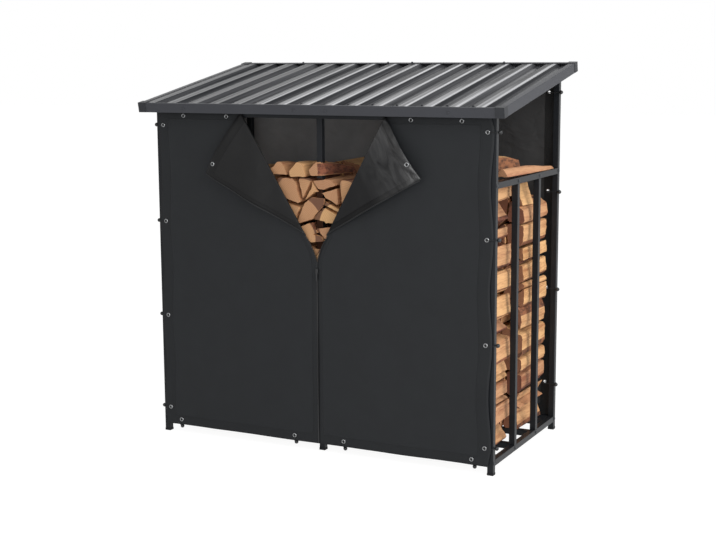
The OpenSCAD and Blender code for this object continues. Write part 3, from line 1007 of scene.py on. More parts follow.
def rounded_line(corners: Sequence[Point2], radius: float, steps: int = 4) -> list[Point2]:
    """Rounds the bends of an open line.

    Args:
        corners: its corners in order.
        radius: the bends' radius.
        steps: pieces of each bend.

    Returns:
        The points of the line.
    """
    found = [corners[0]]
    for before, here, after in zip(corners, corners[1:], corners[2:]):
        at = Vector(here)
        back, on = Vector(before) - at, Vector(after) - at
        turn = back.angle(on)
        if turn > math.radians(175):
            found.append(here)
            continue
        reach = min(radius / math.tan(turn / 2), 0.45 * back.length, 0.45 * on.length)
        start, end = at + back.normalized() * reach, at + on.normalized() * reach
        for k in range(steps + 1):
            share = k / steps
            spot = start.lerp(at, share).lerp(at.lerp(end, share), share)
            found.append((spot.x, spot.y))
    return found + [corners[-1]]


def clip(outline: Array, at: Array, way: Array) -> Array:
    """Cuts a convex outline along a line.

    Args:
        outline: its corners in order.
        at: a point of the line.
        way: the direction across the line, towards the part that is cut off.

    Returns:
        The corners of what is left.
    """
    depth = (outline - at) @ way
    kept = []
    for k in range(len(outline)):
        j = (k + 1) % len(outline)
        if depth[k] <= 0:
            kept.append(outline[k])
        if (depth[k] <= 0) != (depth[j] <= 0):
            kept.append(outline[k] + (outline[j] - outline[k]) * depth[k] / (depth[k] - depth[j]))
    return np.array(kept).reshape(-1, 2)


def area(outline: Array) -> float:
    """Measures the area within an outline whose corners run anticlockwise."""
    ahead = np.roll(outline, -1, axis=0)
    return float((outline[:, 0] * ahead[:, 1] - outline[:, 1] * ahead[:, 0]).sum() / 2)


def in_order(outline: Array) -> Array:
    """Puts the corners of a convex outline in order, anticlockwise."""
    off = outline - outline.mean(axis=0)
    return outline[np.argsort(np.arctan2(off[:, 1], off[:, 0]))]


def ramp(values: Array, reach: float) -> Array:
    """Rises from 0 at a value of 0 to 1 at the reach."""
    return np.clip(values / reach, 0, 1)


@dataclass
class Log:
    """A split log: its end's outline, its pith, the bark's distance from it, and its tone from 0 to 1.

    Below the height under, its outside is bark too.
    """

    outline: Array
    pith: Array
    girth: float
    tone: float
    under: float = -1.0
    long_side: ClassVar[float] = 20 * MM
    short_side: ClassVar[float] = 9 * MM
    least_side: ClassVar[float] = 0.5 * MM
    parallel: ClassVar[float] = 1e-9
    bark_play: ClassVar[float] = 0.3 * MM
    bark_near: ClassVar[float] = 7 * MM
    split_area: ClassVar[float] = 4600 * MM * MM
    split_least: ClassVar[float] = 0.25
    split_turn: ClassVar[float] = 0.5
    split_off_mm: ClassVar[float] = 9.0
    split_tone: ClassVar[float] = 0.5
    corner_worn: ClassVar[float] = 3.8 * MM
    torn_step: ClassVar[float] = 11 * MM
    torn_mm: ClassVar[Point2] = (-1.1, 0.3)

    @classmethod
    def found(cls, outline: Array, tone: float) -> "Log":
        """Finds the corner that the bark runs round.

        Args:
            outline: the end's corners, anticlockwise.
            tone: the log's tone.

        Returns:
            The log with its pith.
        """
        count = len(outline)
        ends = np.roll(outline, -1, axis=0)
        long_sides = [k for k in range(count) if np.linalg.norm(ends[k] - outline[k]) > cls.long_side]
        best = (0, outline.mean(axis=0), 0.0)
        for i, j in zip(long_sides, long_sides[1:] + long_sides[:1]):
            ab, cd = ends[i] - outline[i], ends[j] - outline[j]
            cross = ab[0] * cd[1] - ab[1] * cd[0]
            if abs(cross) < cls.parallel:
                continue
            gap = outline[j] - outline[i]
            corner = outline[i] + ab * (gap[0] * cd[1] - gap[1] * cd[0]) / cross
            far = np.linalg.norm(outline - corner, axis=1)
            on = int((far > far.max() - cls.bark_play).sum())
            if on > best[0]:
                best = (on, corner, float(far.max()))
        return cls(outline, best[1], best[2], tone)

    def split(self, share: float, rng: random.Random) -> list["Log"]:
        """Splits the log where an axe might have.

        Args:
            share: how many of the large logs are split.
            rng: the pile's random numbers.

        Returns:
            The log, or its two parts.
        """
        whole = area(self.outline)
        if whole < self.split_area or rng.random() > share:
            return [self]
        middle = self.outline.mean(axis=0)
        ray = middle - self.pith
        angle = math.atan2(ray[1], ray[0]) + rng.choice((0, 0, math.pi / 2))
        angle += rng.uniform(-self.split_turn, self.split_turn)
        way = np.array([-math.sin(angle), math.cos(angle)])
        off = [rng.uniform(-self.split_off_mm, self.split_off_mm) for _ in way]
        at = middle + np.array(off) * MM
        parts = [clip(self.outline, at, way), clip(self.outline, at, -way)]
        if min(area(part) for part in parts) < self.split_least * whole:
            return [self]
        tones = [(self.tone + rng.uniform(0, self.split_tone)) % 1 for _ in parts]
        return [Log(part, self.pith, self.girth, tone, self.under) for part, tone in zip(parts, tones)]

    def end(self, inset: float, rng: random.Random) -> Array:
        """Draws the log's end: its outline drawn in, its corners worn and its edges torn.

        Args:
            inset: how far it is drawn in.
            rng: the pile's random numbers.

        Returns:
            The points, anticlockwise.
        """
        inner = self.outline
        for a, b in zip(self.outline, np.roll(self.outline, -1, axis=0)):
            size = np.linalg.norm(b - a)
            if size > self.least_side:
                away = np.array([b[1] - a[1], a[0] - b[0]]) / size
                cut = clip(inner, a - away * inset, away)
                inner = cut if len(cut) > 2 else inner
        points = []
        for a, b in zip(inner, np.roll(inner, -1, axis=0)):
            size = np.linalg.norm(b - a)
            if size < self.short_side:
                points.append((a + b) / 2)
                continue
            way = (b - a) / size
            away = np.array([way[1], -way[0]])
            steps = max(2, round(size / self.torn_step))
            run = size - 2 * self.corner_worn
            for k in range(steps + 1):
                torn = rng.uniform(*self.torn_mm) * MM if 0 < k < steps else 0.0
                points.append(a + way * (self.corner_worn + run * k / steps) + away * torn)
        return np.array(points)

    def barked(self, points: Array) -> Array:
        """Tells which points of the end lie on the bark."""
        return np.abs(np.linalg.norm(points - self.pith, axis=1) - self.girth) < self.bark_near


class Wood(IntEnum):
    """The finishes of a log, by their material numbers."""

    END = 0
    SPLIT = 1
    BARK = 2
    SHADE_SLIVER = 3


@dataclass
class WoodMesh(Shape):
    """A mesh of logs, which also keeps where each point lay in its tree.

    The end shift lays each log's end at another depth of its pattern.
    """

    wood: list = field(default_factory=list)
    tones: list = field(default_factory=list)
    girths: list = field(default_factory=list)
    end_shift: float = 0.37
    crease: float = 38.0

    def add_log(
        self, log: Log, loops: list[Array], spots: list[Array], bark: Array, end: Wood
    ) -> None:
        """Adds a log as a tube of loops with two ends.

        Args:
            log: the log.
            loops: the section's points in each loop.
            spots: the same points in the row frame.
            bark: True for each point of the section that lies on the bark.
            end: the finish of its ends.
        """
        count, last = len(bark), len(loops) - 1
        sides: tuple[list, list] = ([], [])
        for r in range(last):
            for k in range(count):
                j = (k + 1) % count
                face = (r * count + k, r * count + j, (r + 1) * count + j, (r + 1) * count + k)
                sides[int(bark[k] and bark[j])].append(face)
        start = len(self.points)
        self.grow([p for spot in spots for p in spot], sides[0], Wood.SPLIT)
        self.faces.extend(tuple(start + n for n in face) for face in sides[1])
        self.slots.extend([Wood.BARK] * len(sides[1]))
        for loop, spot in zip(loops, spots):
            self.wood.extend((p[0] - log.pith[0], s[1], p[1] - log.pith[1]) for p, s in zip(loop, spot))
        fan = [(k, (k + 1) % count, count) for k in range(count)]
        for at in (0, last):
            self.grow([*spots[at], spots[at].mean(axis=0)], fan if at else [f[::-1] for f in fan], end)
            for p in [*loops[at], loops[at].mean(axis=0)]:
                self.wood.append((p[0] - log.pith[0], self.end_shift * log.tone, p[1] - log.pith[1]))
        total = (last + 1) * count + 2 * (count + 1)
        self.tones.extend([log.tone] * total)
        self.girths.extend([log.girth] * total)

    def logs(self, node: str) -> Thing:
        """Makes the piece with its attributes; the ends of a rear row are darker and redder, as painted
        shade.

        Args:
            node: the CAD node that it takes the place of.

        Returns:
            The piece.
        """
        # Painted shade: the rear rows' ends get a darker, redder finish.
        ends = SHADED_GRAIN if node.startswith("rear") else END_GRAIN
        made = self.piece(f"{node}_split", Slot.WOOD, [ends, SPLIT_WOOD, BARK, SHADE_SLIVER_FINISH], self.crease)
        for name, kind, values in (
            ("wood", "FLOAT_VECTOR", np.array(self.wood).ravel()),
            ("tone", "FLOAT", self.tones),
            ("girth", "FLOAT", self.girths),
        ):
            layer = made.data.attributes.new(name, kind, "POINT")
            layer.data.foreach_set("vector" if kind == "FLOAT_VECTOR" else "value", values)
        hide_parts(node)
        return made


@dataclass
class LogPile:
    """The logs of one CAD node, split, sagged out of line and set back each by its own amount.

    The waves that the logs sag in are in radians per metre, across and up. A pair named _mm, _at or _fall
    is the range that a random number is drawn from.
    """

    node: str
    seed: int
    split_share: float = 0.55
    outer_split: float = 0.15
    bay: Point2 = (12.7 * MM, 740 * MM)
    floor: float = 60 * MM
    top: float = 1149 * MM
    post: Point3 = (13.2 * MM, -358.3 * MM, -331.7 * MM)
    shown: float = 770 * MM
    rear: float = 355 * MM
    rear_reach: float = 24 * MM
    rear_back_mm: Point2 = (-7, 0)
    ease_side: float = 60 * MM
    ease_floor: float = 80 * MM
    ease_top: float = 60 * MM
    sway: float = 10 * MM
    sway_wave: Point2 = (9, 23)
    sag: float = 11 * MM
    sag_wave: Point2 = (17, 6)
    dip: float = 14 * MM
    dip_wave: Point2 = (29, -11)
    dip_start: float = 1.0
    outside: float = 3 * MM
    outside_bark: float = 60 * MM
    outside_back_mm: Point2 = (0, 4)
    least_face: float = 20 * MM
    ridge_at: Point2 = (0.08, 0.3)
    bark_fall: Point2 = (0.6, 1.4)
    face_fall: Point2 = (0.0, 0.16)
    meet_swing: float = 27 * MM
    meet_wave: float = 171 * MM
    meet_start: float = 0.6
    meet_gap: float = 1.2 * MM
    meet_reach: float = 8 * MM
    wedge: float = 9 * MM
    step: float = 0.3 * MM
    behind_post: float = 40 * MM
    chamfer: float = 12 * MM
    body_in: float = 70 * MM
    end_in: float = 1 * MM
    gap_mm: Point2 = (1.5, 3.5)
    shown_gap_mm: Point2 = (4.0, 7.5)
    tilt: float = 0.06
    slope: float = 0.03
    lean: float = 2 * MM
    bark_lump: float = 2.4 * MM
    face_ridge: float = 2.6 * MM
    face_lump: float = 0.6 * MM

    def __post_init__(self) -> None:
        """Starts the pile's random numbers."""
        self.rng = random.Random(self.seed)

    def shaped(self, log: Log) -> Log:
        """Lets a log sag out of line with its neighbours, and sets its outside back.

        Args:
            log: the log as the CAD has it.

        Returns:
            The log with its new outline.
        """
        both = np.vstack([log.outline, log.pith])
        x, z = both[:, 0], both[:, 1]
        free_x = ramp(self.bay[1] - np.abs(x), self.ease_side) * ramp(np.abs(x) - self.bay[0], self.ease_side)
        free_z = ramp(z - self.floor, self.ease_floor) * ramp(self.top - z, self.ease_top)
        waves = (self.sway_wave, self.sag_wave, self.dip_wave)
        sway, sag, dip = (across * x + up * z for across, up in waves)
        aside = self.sway * np.sin(sway + self.seed)
        down = self.sag * np.sin(sag + 2 * self.seed) + self.dip * np.sin(dip + self.dip_start)
        moved = both + np.stack([aside * free_x, down * free_z], axis=1)
        outline, pith = moved[:-1], moved[-1]
        outside = np.abs(outline[:, 0]) > self.bay[1] - self.outside
        fresh = Log(outline, pith, log.girth, log.tone)
        return self.facet(fresh, outside) if outside.any() else fresh

    def facet(self, log: Log, outside: Array) -> Log:
        """Breaks the outside of a log into a steep split face over a narrow one of bark.

        Args:
            log: the log.
            outside: True for the corners on the bay's outside.

        Returns:
            The log with the ridge between its faces.
        """
        outline = log.outline.copy()
        heights = outline[outside, 1]
        low, span = heights.min(), max(float(np.ptp(heights)), self.least_face)
        ridge = low + self.rng.uniform(*self.ridge_at) * span
        below, above = (self.rng.uniform(*fall) for fall in (self.bark_fall, self.face_fall))
        falls = np.where(heights < ridge, below, above)
        side = np.sign(outline[outside, 0])
        out = self.bay[1] - self.rng.uniform(*self.outside_back_mm) * MM
        outline[outside, 0] = side * (out - falls * np.abs(heights - ridge))
        outline = np.vstack([outline, [[side[0] * out, ridge]]])
        return Log(in_order(outline), log.pith, log.girth, log.tone, ridge)

    def meet(self, end: Array, side: float) -> Array:
        """Lets the ends of the two bays meet along a crooked line in front of the middle post.

        Args:
            end: the points of a log's end.
            side: -1 in the left bay, 1 in the right one.

        Returns:
            The points, moved where they face the other bay.
        """
        off = side * end[:, 0]
        turn = 2 * math.pi * end[:, 1] / self.meet_wave + self.meet_start
        line = side * self.meet_swing * np.sin(turn) + self.meet_gap
        inner = off < self.bay[0] + self.meet_reach
        off = np.where(inner, line, np.maximum(off, np.where(line > self.bay[0], line, off)))
        return np.stack([side * off, end[:, 1]], axis=1)

    def bark(self, log: Log, end: Array) -> Array:
        """Tells which points of a log's end lie on bark.

        Args:
            log: the log.
            end: the points.

        Returns:
            True for each point on bark.
        """
        below = (end[:, 1] < log.under) & (np.abs(end[:, 0]) > self.bay[1] - self.outside_bark)
        return log.barked(end) | below

    def rows(self, low: float, high: float, end: Array) -> list[float]:
        """Lists the places of a log's loops along it.

        Args:
            low: where it starts.
            high: where it ends.
            end: the points of its end.

        Returns:
            The places, from front to rear.
        """
        half, start, _ = self.post
        if self.node.startswith("front") and np.abs(end[:, 0]).min() < half and low < start:
            if np.abs(end[:, 0]).max() < half + self.wedge:
                return [low, start]
            return [low, start, start + self.step, *np.linspace(start + self.behind_post, high, 4)]
        body = np.linspace(low + self.body_in, high - self.body_in, 3)
        return [low, low + self.chamfer, *body, high - self.chamfer, high]

    def bent(self, loop: Array, at: float, log: Log) -> Array:
        """Keeps a loop clear of the middle post.

        Args:
            loop: the section's points.
            at: the loop's place along the log.
            log: the log.

        Returns:
            The points, moved.
        """
        half, start, _ = self.post
        if self.node.startswith("front") and at > start + self.step / 2:
            side = 1.0 if log.outline[:, 0].mean() > 0 else -1.0
            loop = np.stack([side * np.maximum(side * loop[:, 0], half), loop[:, 1]], axis=1)
        return loop

    def build(self) -> Thing:
        """Shapes every log from its solid.

        Returns:
            The logs as one piece in place of the node.
        """
        mesh = WoodMesh()
        found = sorted(solids(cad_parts[self.node]), key=lambda solid: tuple(solid[0].mean(axis=0)))
        for points, axis in found:
            along = points @ axis
            low, high = along.min(), along.max()
            if self.node.startswith("rear") and high > self.rear - self.rear_reach:
                high = self.rear + self.rng.uniform(*self.rear_back_mm) * MM
            ring = points[along < low + self.end_in]
            flat = in_order(np.stack([ring @ sideways(axis), ring @ UP], axis=1))
            log = self.shaped(Log.found(flat, self.rng.random()))
            for part in log.split(self.outer_split if log.under > 0 else self.split_share, self.rng):
                self.hew(mesh, part, (low, high), axis)
        if self.node == "front_left_logs":
            self.sliver(mesh)
        return mesh.logs(self.node)

    def hew(self, mesh: WoodMesh, log: Log, ends: Point2, axis: Array) -> None:
        """Adds one log, with lumps on its bark, ridges along its split faces and ends a little askew.

        Args:
            mesh: the mesh it is added to.
            log: the log.
            ends: where it starts and ends along its axis.
            axis: the direction of its length.
        """
        low, high = ends
        shown = self.node.startswith("front") and log.outline[:, 1].mean() > self.shown
        end = log.end(self.rng.uniform(*(self.shown_gap_mm if shown else self.gap_mm)) * MM, self.rng)
        bark = self.bark(log, end)
        if shown:
            end = self.meet(end, 1.0 if log.outline[:, 0].mean() > 0 else -1.0)
        core = end.mean(axis=0)
        reach = np.maximum(np.linalg.norm(end - core, axis=1), 1 * MM)
        ridge = np.array([self.rng.uniform(0, 1) for _ in end])
        tilt = [np.array([self.rng.uniform(-self.tilt, self.tilt) for _ in core]) for _ in ends]
        slope = self.rng.uniform(-self.slope, self.slope)
        places = self.rows(low + self.end_in, high - self.end_in, end)
        loops, spots = [], []
        for at in places:
            share = (at - places[0]) / (places[-1] - places[0])
            lump = np.array([self.rng.uniform(0, 1) for _ in end])
            cut_in = np.where(bark, self.bark_lump * lump, self.face_ridge * ridge + self.face_lump * lump)
            loop = self.bent(core + (end - core) * (1 - cut_in / reach)[:, None], at, log)
            lean = (loop - core) @ (tilt[0] * (1 - share) + tilt[1] * share)
            along = at + np.clip(lean, -self.lean, self.lean)
            rise = slope * (at - (low + high) / 2)
            loops.append(loop)
            spots.append(loop[:, :1] * sideways(axis) + (loop[:, 1:] + rise) * UP + along[:, None] * axis)
        mesh.add_log(log, loops, spots, bark, Wood.END)

    def sliver(self, mesh: WoodMesh) -> None:
        """Wedges a near-black sliver between the two bays, in front of the middle post, as painted shade.

        Args:
            mesh: the mesh it is added to.
        """
        half, start, _ = self.post
        top = self.top - 4 * MM
        outline = np.array([(-half, self.shown), (half, self.shown), (half, top), (-half, top)])
        log = Log(outline, np.array([0.0, self.shown - 1.0]), NO_BARK, 0.2)
        spots = []
        for at in (1.6 * MM, 0.4 * MM):
            spots.append(np.stack([outline[:, 0], np.full(4, start - at), outline[:, 1]], axis=1))
        # Its broad faces are its ends, which carry the painted shade.
        mesh.add_log(log, [outline, outline], spots, np.ones(4, dtype=bool), Wood.SHADE_SLIVER)


@dataclass
class LooseLogs(LogPile):
    """The loose logs on the stack: split half-rounds that taper, one notched round the middle post.

    The cuts are ranges of the way each faces, in radians, with the share of the log that is left there.
    """

    split_share: float = 0.0
    places: Row = (-188 * MM, -88 * MM, -4 * MM, 300 * MM, 643 * MM, 747 * MM)
    barky: tuple[bool, ...] = (False, False, True, True, True, False)
    bark_way: Point2 = (0.2, 0.9)
    front: float = -376 * MM
    cuts: tuple[Point3, ...] = ((0.3, 0.6, 0.75), (1.35, 1.6, 0.96), (2.2, 2.6, 0.75))
    middle_cut: float = 0.92
    middle: float = 20 * MM
    pith_off: float = 0.4
    pith_down: float = 6 * MM
    notch: float = 0.2 * MM
    nose: float = 5 * MM
    nose_x: float = -8 * MM
    nose_share: float = 0.25
    near_end: float = 500 * MM
    taper_y: Point2 = (-330 * MM, 0.0)
    side_taper_y: Point2 = (0.0, 360 * MM)
    taper: Point2 = (0.35, 0.6)

    def shaped(self, log: Log) -> Log:
        """Splits a round log into facets.

        Args:
            log: the log as the CAD has it.

        Returns:
            The log with its new outline, its pith below its flat underside.
        """
        outline = log.outline
        low, high = outline.min(axis=0), outline.max(axis=0)
        middle, width = (low + high) / 2, float(high[0] - low[0])
        angles = [self.rng.uniform(start, end) for start, end, _ in self.cuts]
        shares = [share for _, _, share in self.cuts]
        if abs(middle[0]) < self.middle:
            shares[0] = self.middle_cut
        for angle, share in zip(angles, shares):
            way = np.array([math.cos(angle), math.sin(angle)])
            reach = ((outline - middle) @ way).max()
            outline = clip(outline, middle + way * reach * share, way)
        pith = np.array([middle[0] - self.pith_off * width, low[1] - self.pith_down])
        return Log(outline, pith, NO_BARK, log.tone)

    def bark(self, log: Log, end: Array) -> Array:
        """Tells which points of a log's end lie on bark: those that face right, on the logs that have any.

        Args:
            log: not used.
            end: the points.

        Returns:
            True for each point on bark.
        """
        nearest = min(range(len(self.places)), key=lambda k: abs(self.places[k] - end[:, 0].mean()))
        along = np.roll(end, -1, axis=0) - np.roll(end, 1, axis=0)
        facing = np.arctan2(-along[:, 0], along[:, 1])
        way, reach = self.bark_way
        return (np.abs(facing - way) < reach) & self.barky[nearest]

    def notched(self, outline: Array) -> bool:
        """Tells whether a log with this outline lies behind the middle post."""
        return abs(outline[:, 0].mean()) < self.middle

    def rows(self, low: float, high: float, end: Array) -> list[float]:
        """Lists the places of a log's loops; the notched log reaches forward past the post.

        Args:
            low: where it starts.
            high: where it ends.
            end: the points of its end.

        Returns:
            The places, from front to rear.
        """
        rest = [*np.linspace(low + 0.1 * (high - low), high, 6)]
        if self.notched(end):
            _, start, stop = self.post
            return [self.front, start, start + self.notch, stop, stop + self.notch, *rest[1:]]
        return [low, *rest]

    def bent(self, loop: Array, at: float, log: Log) -> Array:
        """Tapers a loop towards the log's far end, and notches it round the middle post.

        Args:
            loop: the section's points.
            at: the loop's place along the log.
            log: the log.

        Returns:
            The points, moved.
        """
        x, z = loop[:, 0], loop[:, 1]
        base, middle = z.min(), x.mean()
        reach = self.taper_y if log.outline[:, 0].mean() < self.near_end else self.side_taper_y
        thinner, lower = (1 - most * smooth(*reach, at) for most in self.taper)
        x, z = middle + (x - middle) * thinner, base + (z - base) * lower
        half, start, stop = self.post
        if self.notched(log.outline) and at < start - self.nose:
            x = np.where(x > self.nose_x, self.nose_x + (x - self.nose_x) * self.nose_share, x)
        if self.notched(log.outline) and start + self.notch / 2 < at < stop + self.notch / 2:
            x = np.maximum(x, half)
        return np.stack([x, z], axis=1)


def sideways(axis: Array) -> Array:
    """Turns a level direction a quarter turn to the right."""
    return np.array([axis[1], -axis[0], 0.0])


def solids(node: Thing) -> list[tuple[Array, Array]]:
    """Takes a CAD node's mesh apart into its solids.

    Args:
        node: the CAD node's object.

    Returns:
        For each solid its points and the direction of its length.
    """
    work = bmesh.new()
    work.from_mesh(node.data)
    bmesh.ops.remove_doubles(work, verts=work.verts, dist=WELD)
    work.normal_update()
    seen: set[bmesh.types.BMVert] = set()
    found = []
    for start in work.verts:
        if start in seen:
            continue
        seen.add(start)
        queue, island = [start], []
        while queue:
            vert = queue.pop()
            island.append(vert)
            for edge in vert.link_edges:
                other = edge.other_vert(vert)
                if other not in seen:
                    seen.add(other)
                    queue.append(other)
        points = np.array([v.co[:] for v in island])
        spread = points - points.mean(axis=0)
        long_way = np.linalg.svd(spread, full_matrices=False)[2][0]
        faces = {f for v in island for f in v.link_faces}
        best = max(faces, key=lambda f: abs(np.dot(f.normal, long_way)) + f.calc_area())
        axis = np.array(best.normal)
        found.append((points, axis if axis[1] > 0 else -axis))
    work.free()
    return found


@dataclass
class Sheet:
    """A cloth cut flat, with hems, a rim of eyelets and a way to hang.

    The hems are those at the cut's start, its end, its lower and its upper edge.
    """

    name: str
    node: str
    size: Point2
    eyelets: list[Point2]
    hems: tuple[float, float, float, float] = (24 * MM, 58 * MM, 42 * MM, 40 * MM)
    spacing: float = 11 * MM
    stagger: float = 0.4
    thick: float = 1.0 * MM
    hole_r: float = 6 * MM
    hole_sides: int = 12
    hole_keep: float = 0.97
    ring_r: float = 9.5 * MM
    ring_in: float = 0.92
    turned: bool = False
    inside: Finish = CLOTH_INSIDE
    corded: bool = False

    def hang(self, s: float, t: float) -> Vector:
        """Places a point of the flat cut in space."""
        raise NotImplementedError

    def lines(self) -> list[tuple[Point2, Point2]]:
        """Lists the lines that the mesh must follow, besides the outline."""
        return []

    def rim(self, s: float, t: float) -> float:
        """Tells how far a point lies from the cut's edge, as a share of the hem there.

        Args:
            s: place across the cut.
            t: place up the cut.

        Returns:
            0 at the edge, 1 at the hem's seam and more beyond it.
        """
        width, height = self.size
        start, end, lower, upper = self.hems
        return min(s / start, (width - s) / end, t / lower, (height - t) / upper)

    def cut(self) -> tuple[list[Vector], list[tuple[int, ...]]]:
        """Meshes the flat cut, with its holes.

        Returns:
            The points, and the point numbers of each face.
        """
        width, height = self.size
        spots: list[Vector] = []
        edges: list[tuple[int, int]] = []

        def follow(chain: Sequence[Point2], closed: bool = False) -> None:
            """Adds a chain of points that mesh edges follow.

            Args:
                chain: the points in order.
                closed: True where the last one joins the first.
            """
            start = len(spots)
            spots.extend(Vector(p) for p in chain)
            edges.extend((start + k, start + k + 1) for k in range(len(chain) - 1))
            if closed:
                edges.append((start + len(chain) - 1, start))

        def straight(a: Point2, b: Point2) -> list[Point2]:
            """Divides a line into steps of the mesh's spacing."""
            steps = max(2, round(math.dist(a, b) / self.spacing))
            return [
                (a[0] + (b[0] - a[0]) * k / steps, a[1] + (b[1] - a[1]) * k / steps) for k in range(steps + 1)
            ]

        corners = [(0.0, 0.0), (width, 0.0), (width, height), (0.0, height)]
        follow([p for a, b in zip(corners, corners[1:] + corners[:1]) for p in straight(a, b)[:-1]], True)
        for a, b in self.lines():
            follow(straight(a, b))
        turns = [k * math.pi / (self.hole_sides / 2) for k in range(self.hole_sides)]
        for s, t in self.eyelets:
            follow([(s + self.hole_r * math.cos(a), t + self.hole_r * math.sin(a)) for a in turns], True)
        columns, rows = round(width / self.spacing), round(height / self.spacing)
        for i in range(1, columns):
            for j in range(1, rows):
                up = height * (j + (i % 2) * self.stagger) / (rows + 0.5)
                spots.append(Vector((width * i / columns, up)))
        flat, _, faces, *_ = geometry.delaunay_2d_cdt(spots, edges, [], 1, 1e-5)
        kept = []
        for face in faces:
            centre = sum((flat[k] for k in face), Vector((0, 0))) / len(face)
            if all(math.dist(centre, hole) > self.hole_r * self.hole_keep for hole in self.eyelets):
                kept.append(tuple(face))
        return flat, kept

    def build(self) -> Thing:
        """Cuts the cloth and hangs it.

        Returns:
            The cloth as a piece in place of its node.
        """
        flat, faces = self.cut()
        shape = Shape()
        shape.grow([self.hang(p.x, p.y) for p in flat], [f[::-1] for f in faces] if self.turned else faces)
        made = shape.piece(self.name, Slot.CLOTH, [CLOTH_OUTSIDE, self.inside], ROUND)
        layer = made.data.attributes.new("rim", "FLOAT", "POINT")
        layer.data.foreach_set("value", [self.rim(p.x, p.y) for p in flat])
        laid = made.data.uv_layers.new(name="cut")
        for loop in made.data.loops:
            laid.data[loop.index].uv = flat[loop.vertex_index]
        solid = thicken(made, self.thick, 0.0)
        solid.material_offset = 1
        solid.material_offset_rim = 0
        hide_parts(self.node)
        return made

    def spot(self, s: float, t: float) -> tuple[Vector, Vector]:
        """Finds a point of the hung cloth and the way its outside faces.

        Args:
            s: place across the cut.
            t: place up the cut.

        Returns:
            The point and the outward direction.
        """
        step = 2 * MM
        here = self.hang(s, t)
        across = self.hang(s + step, t) - self.hang(s - step, t)
        upward = self.hang(s, t + step) - self.hang(s, t - step)
        return here, across.cross(upward).normalized() * (-1 if self.turned else 1)

    def rings(self) -> Thing:
        """Adds a stamped ring on both sides of every hole, and a cord's knot in it where there is one.

        Returns:
            The rings as one piece.
        """
        shape = Shape()
        low, high = self.hole_r * self.ring_in, self.ring_r
        middle = (low + high) / 2
        profile = [(low, -1.6 * MM), (low, 1.6 * MM), (low + 0.8 * MM, 2.2 * MM), (middle, 2.4 * MM)]
        profile += [(high - 0.8 * MM, 1.6 * MM), (high, 0.4 * MM), (high, -0.4 * MM)]
        profile += [(high - 0.8 * MM, -1.6 * MM), (middle, -2.2 * MM), (low, -1.6 * MM)]
        spots = [self.spot(s, t) for s, t in self.eyelets]
        for here, out in spots:
            shape.lathe(profile, here, out)
        if self.corded:
            first = len(shape.faces)
            knot_r = self.hole_r * 0.9
            for here, out in spots:
                shape.lathe([(knot_r, -1.2 * MM), (knot_r, 0.2 * MM), (0.0, 0.8 * MM)], here, out, 14)
            shape.slots[first:] = [1] * (len(shape.faces) - first)
        return shape.piece(f"{self.name}_eyelets", Slot.CLOTH, [EYELET_METAL, CORD_RUBBER])


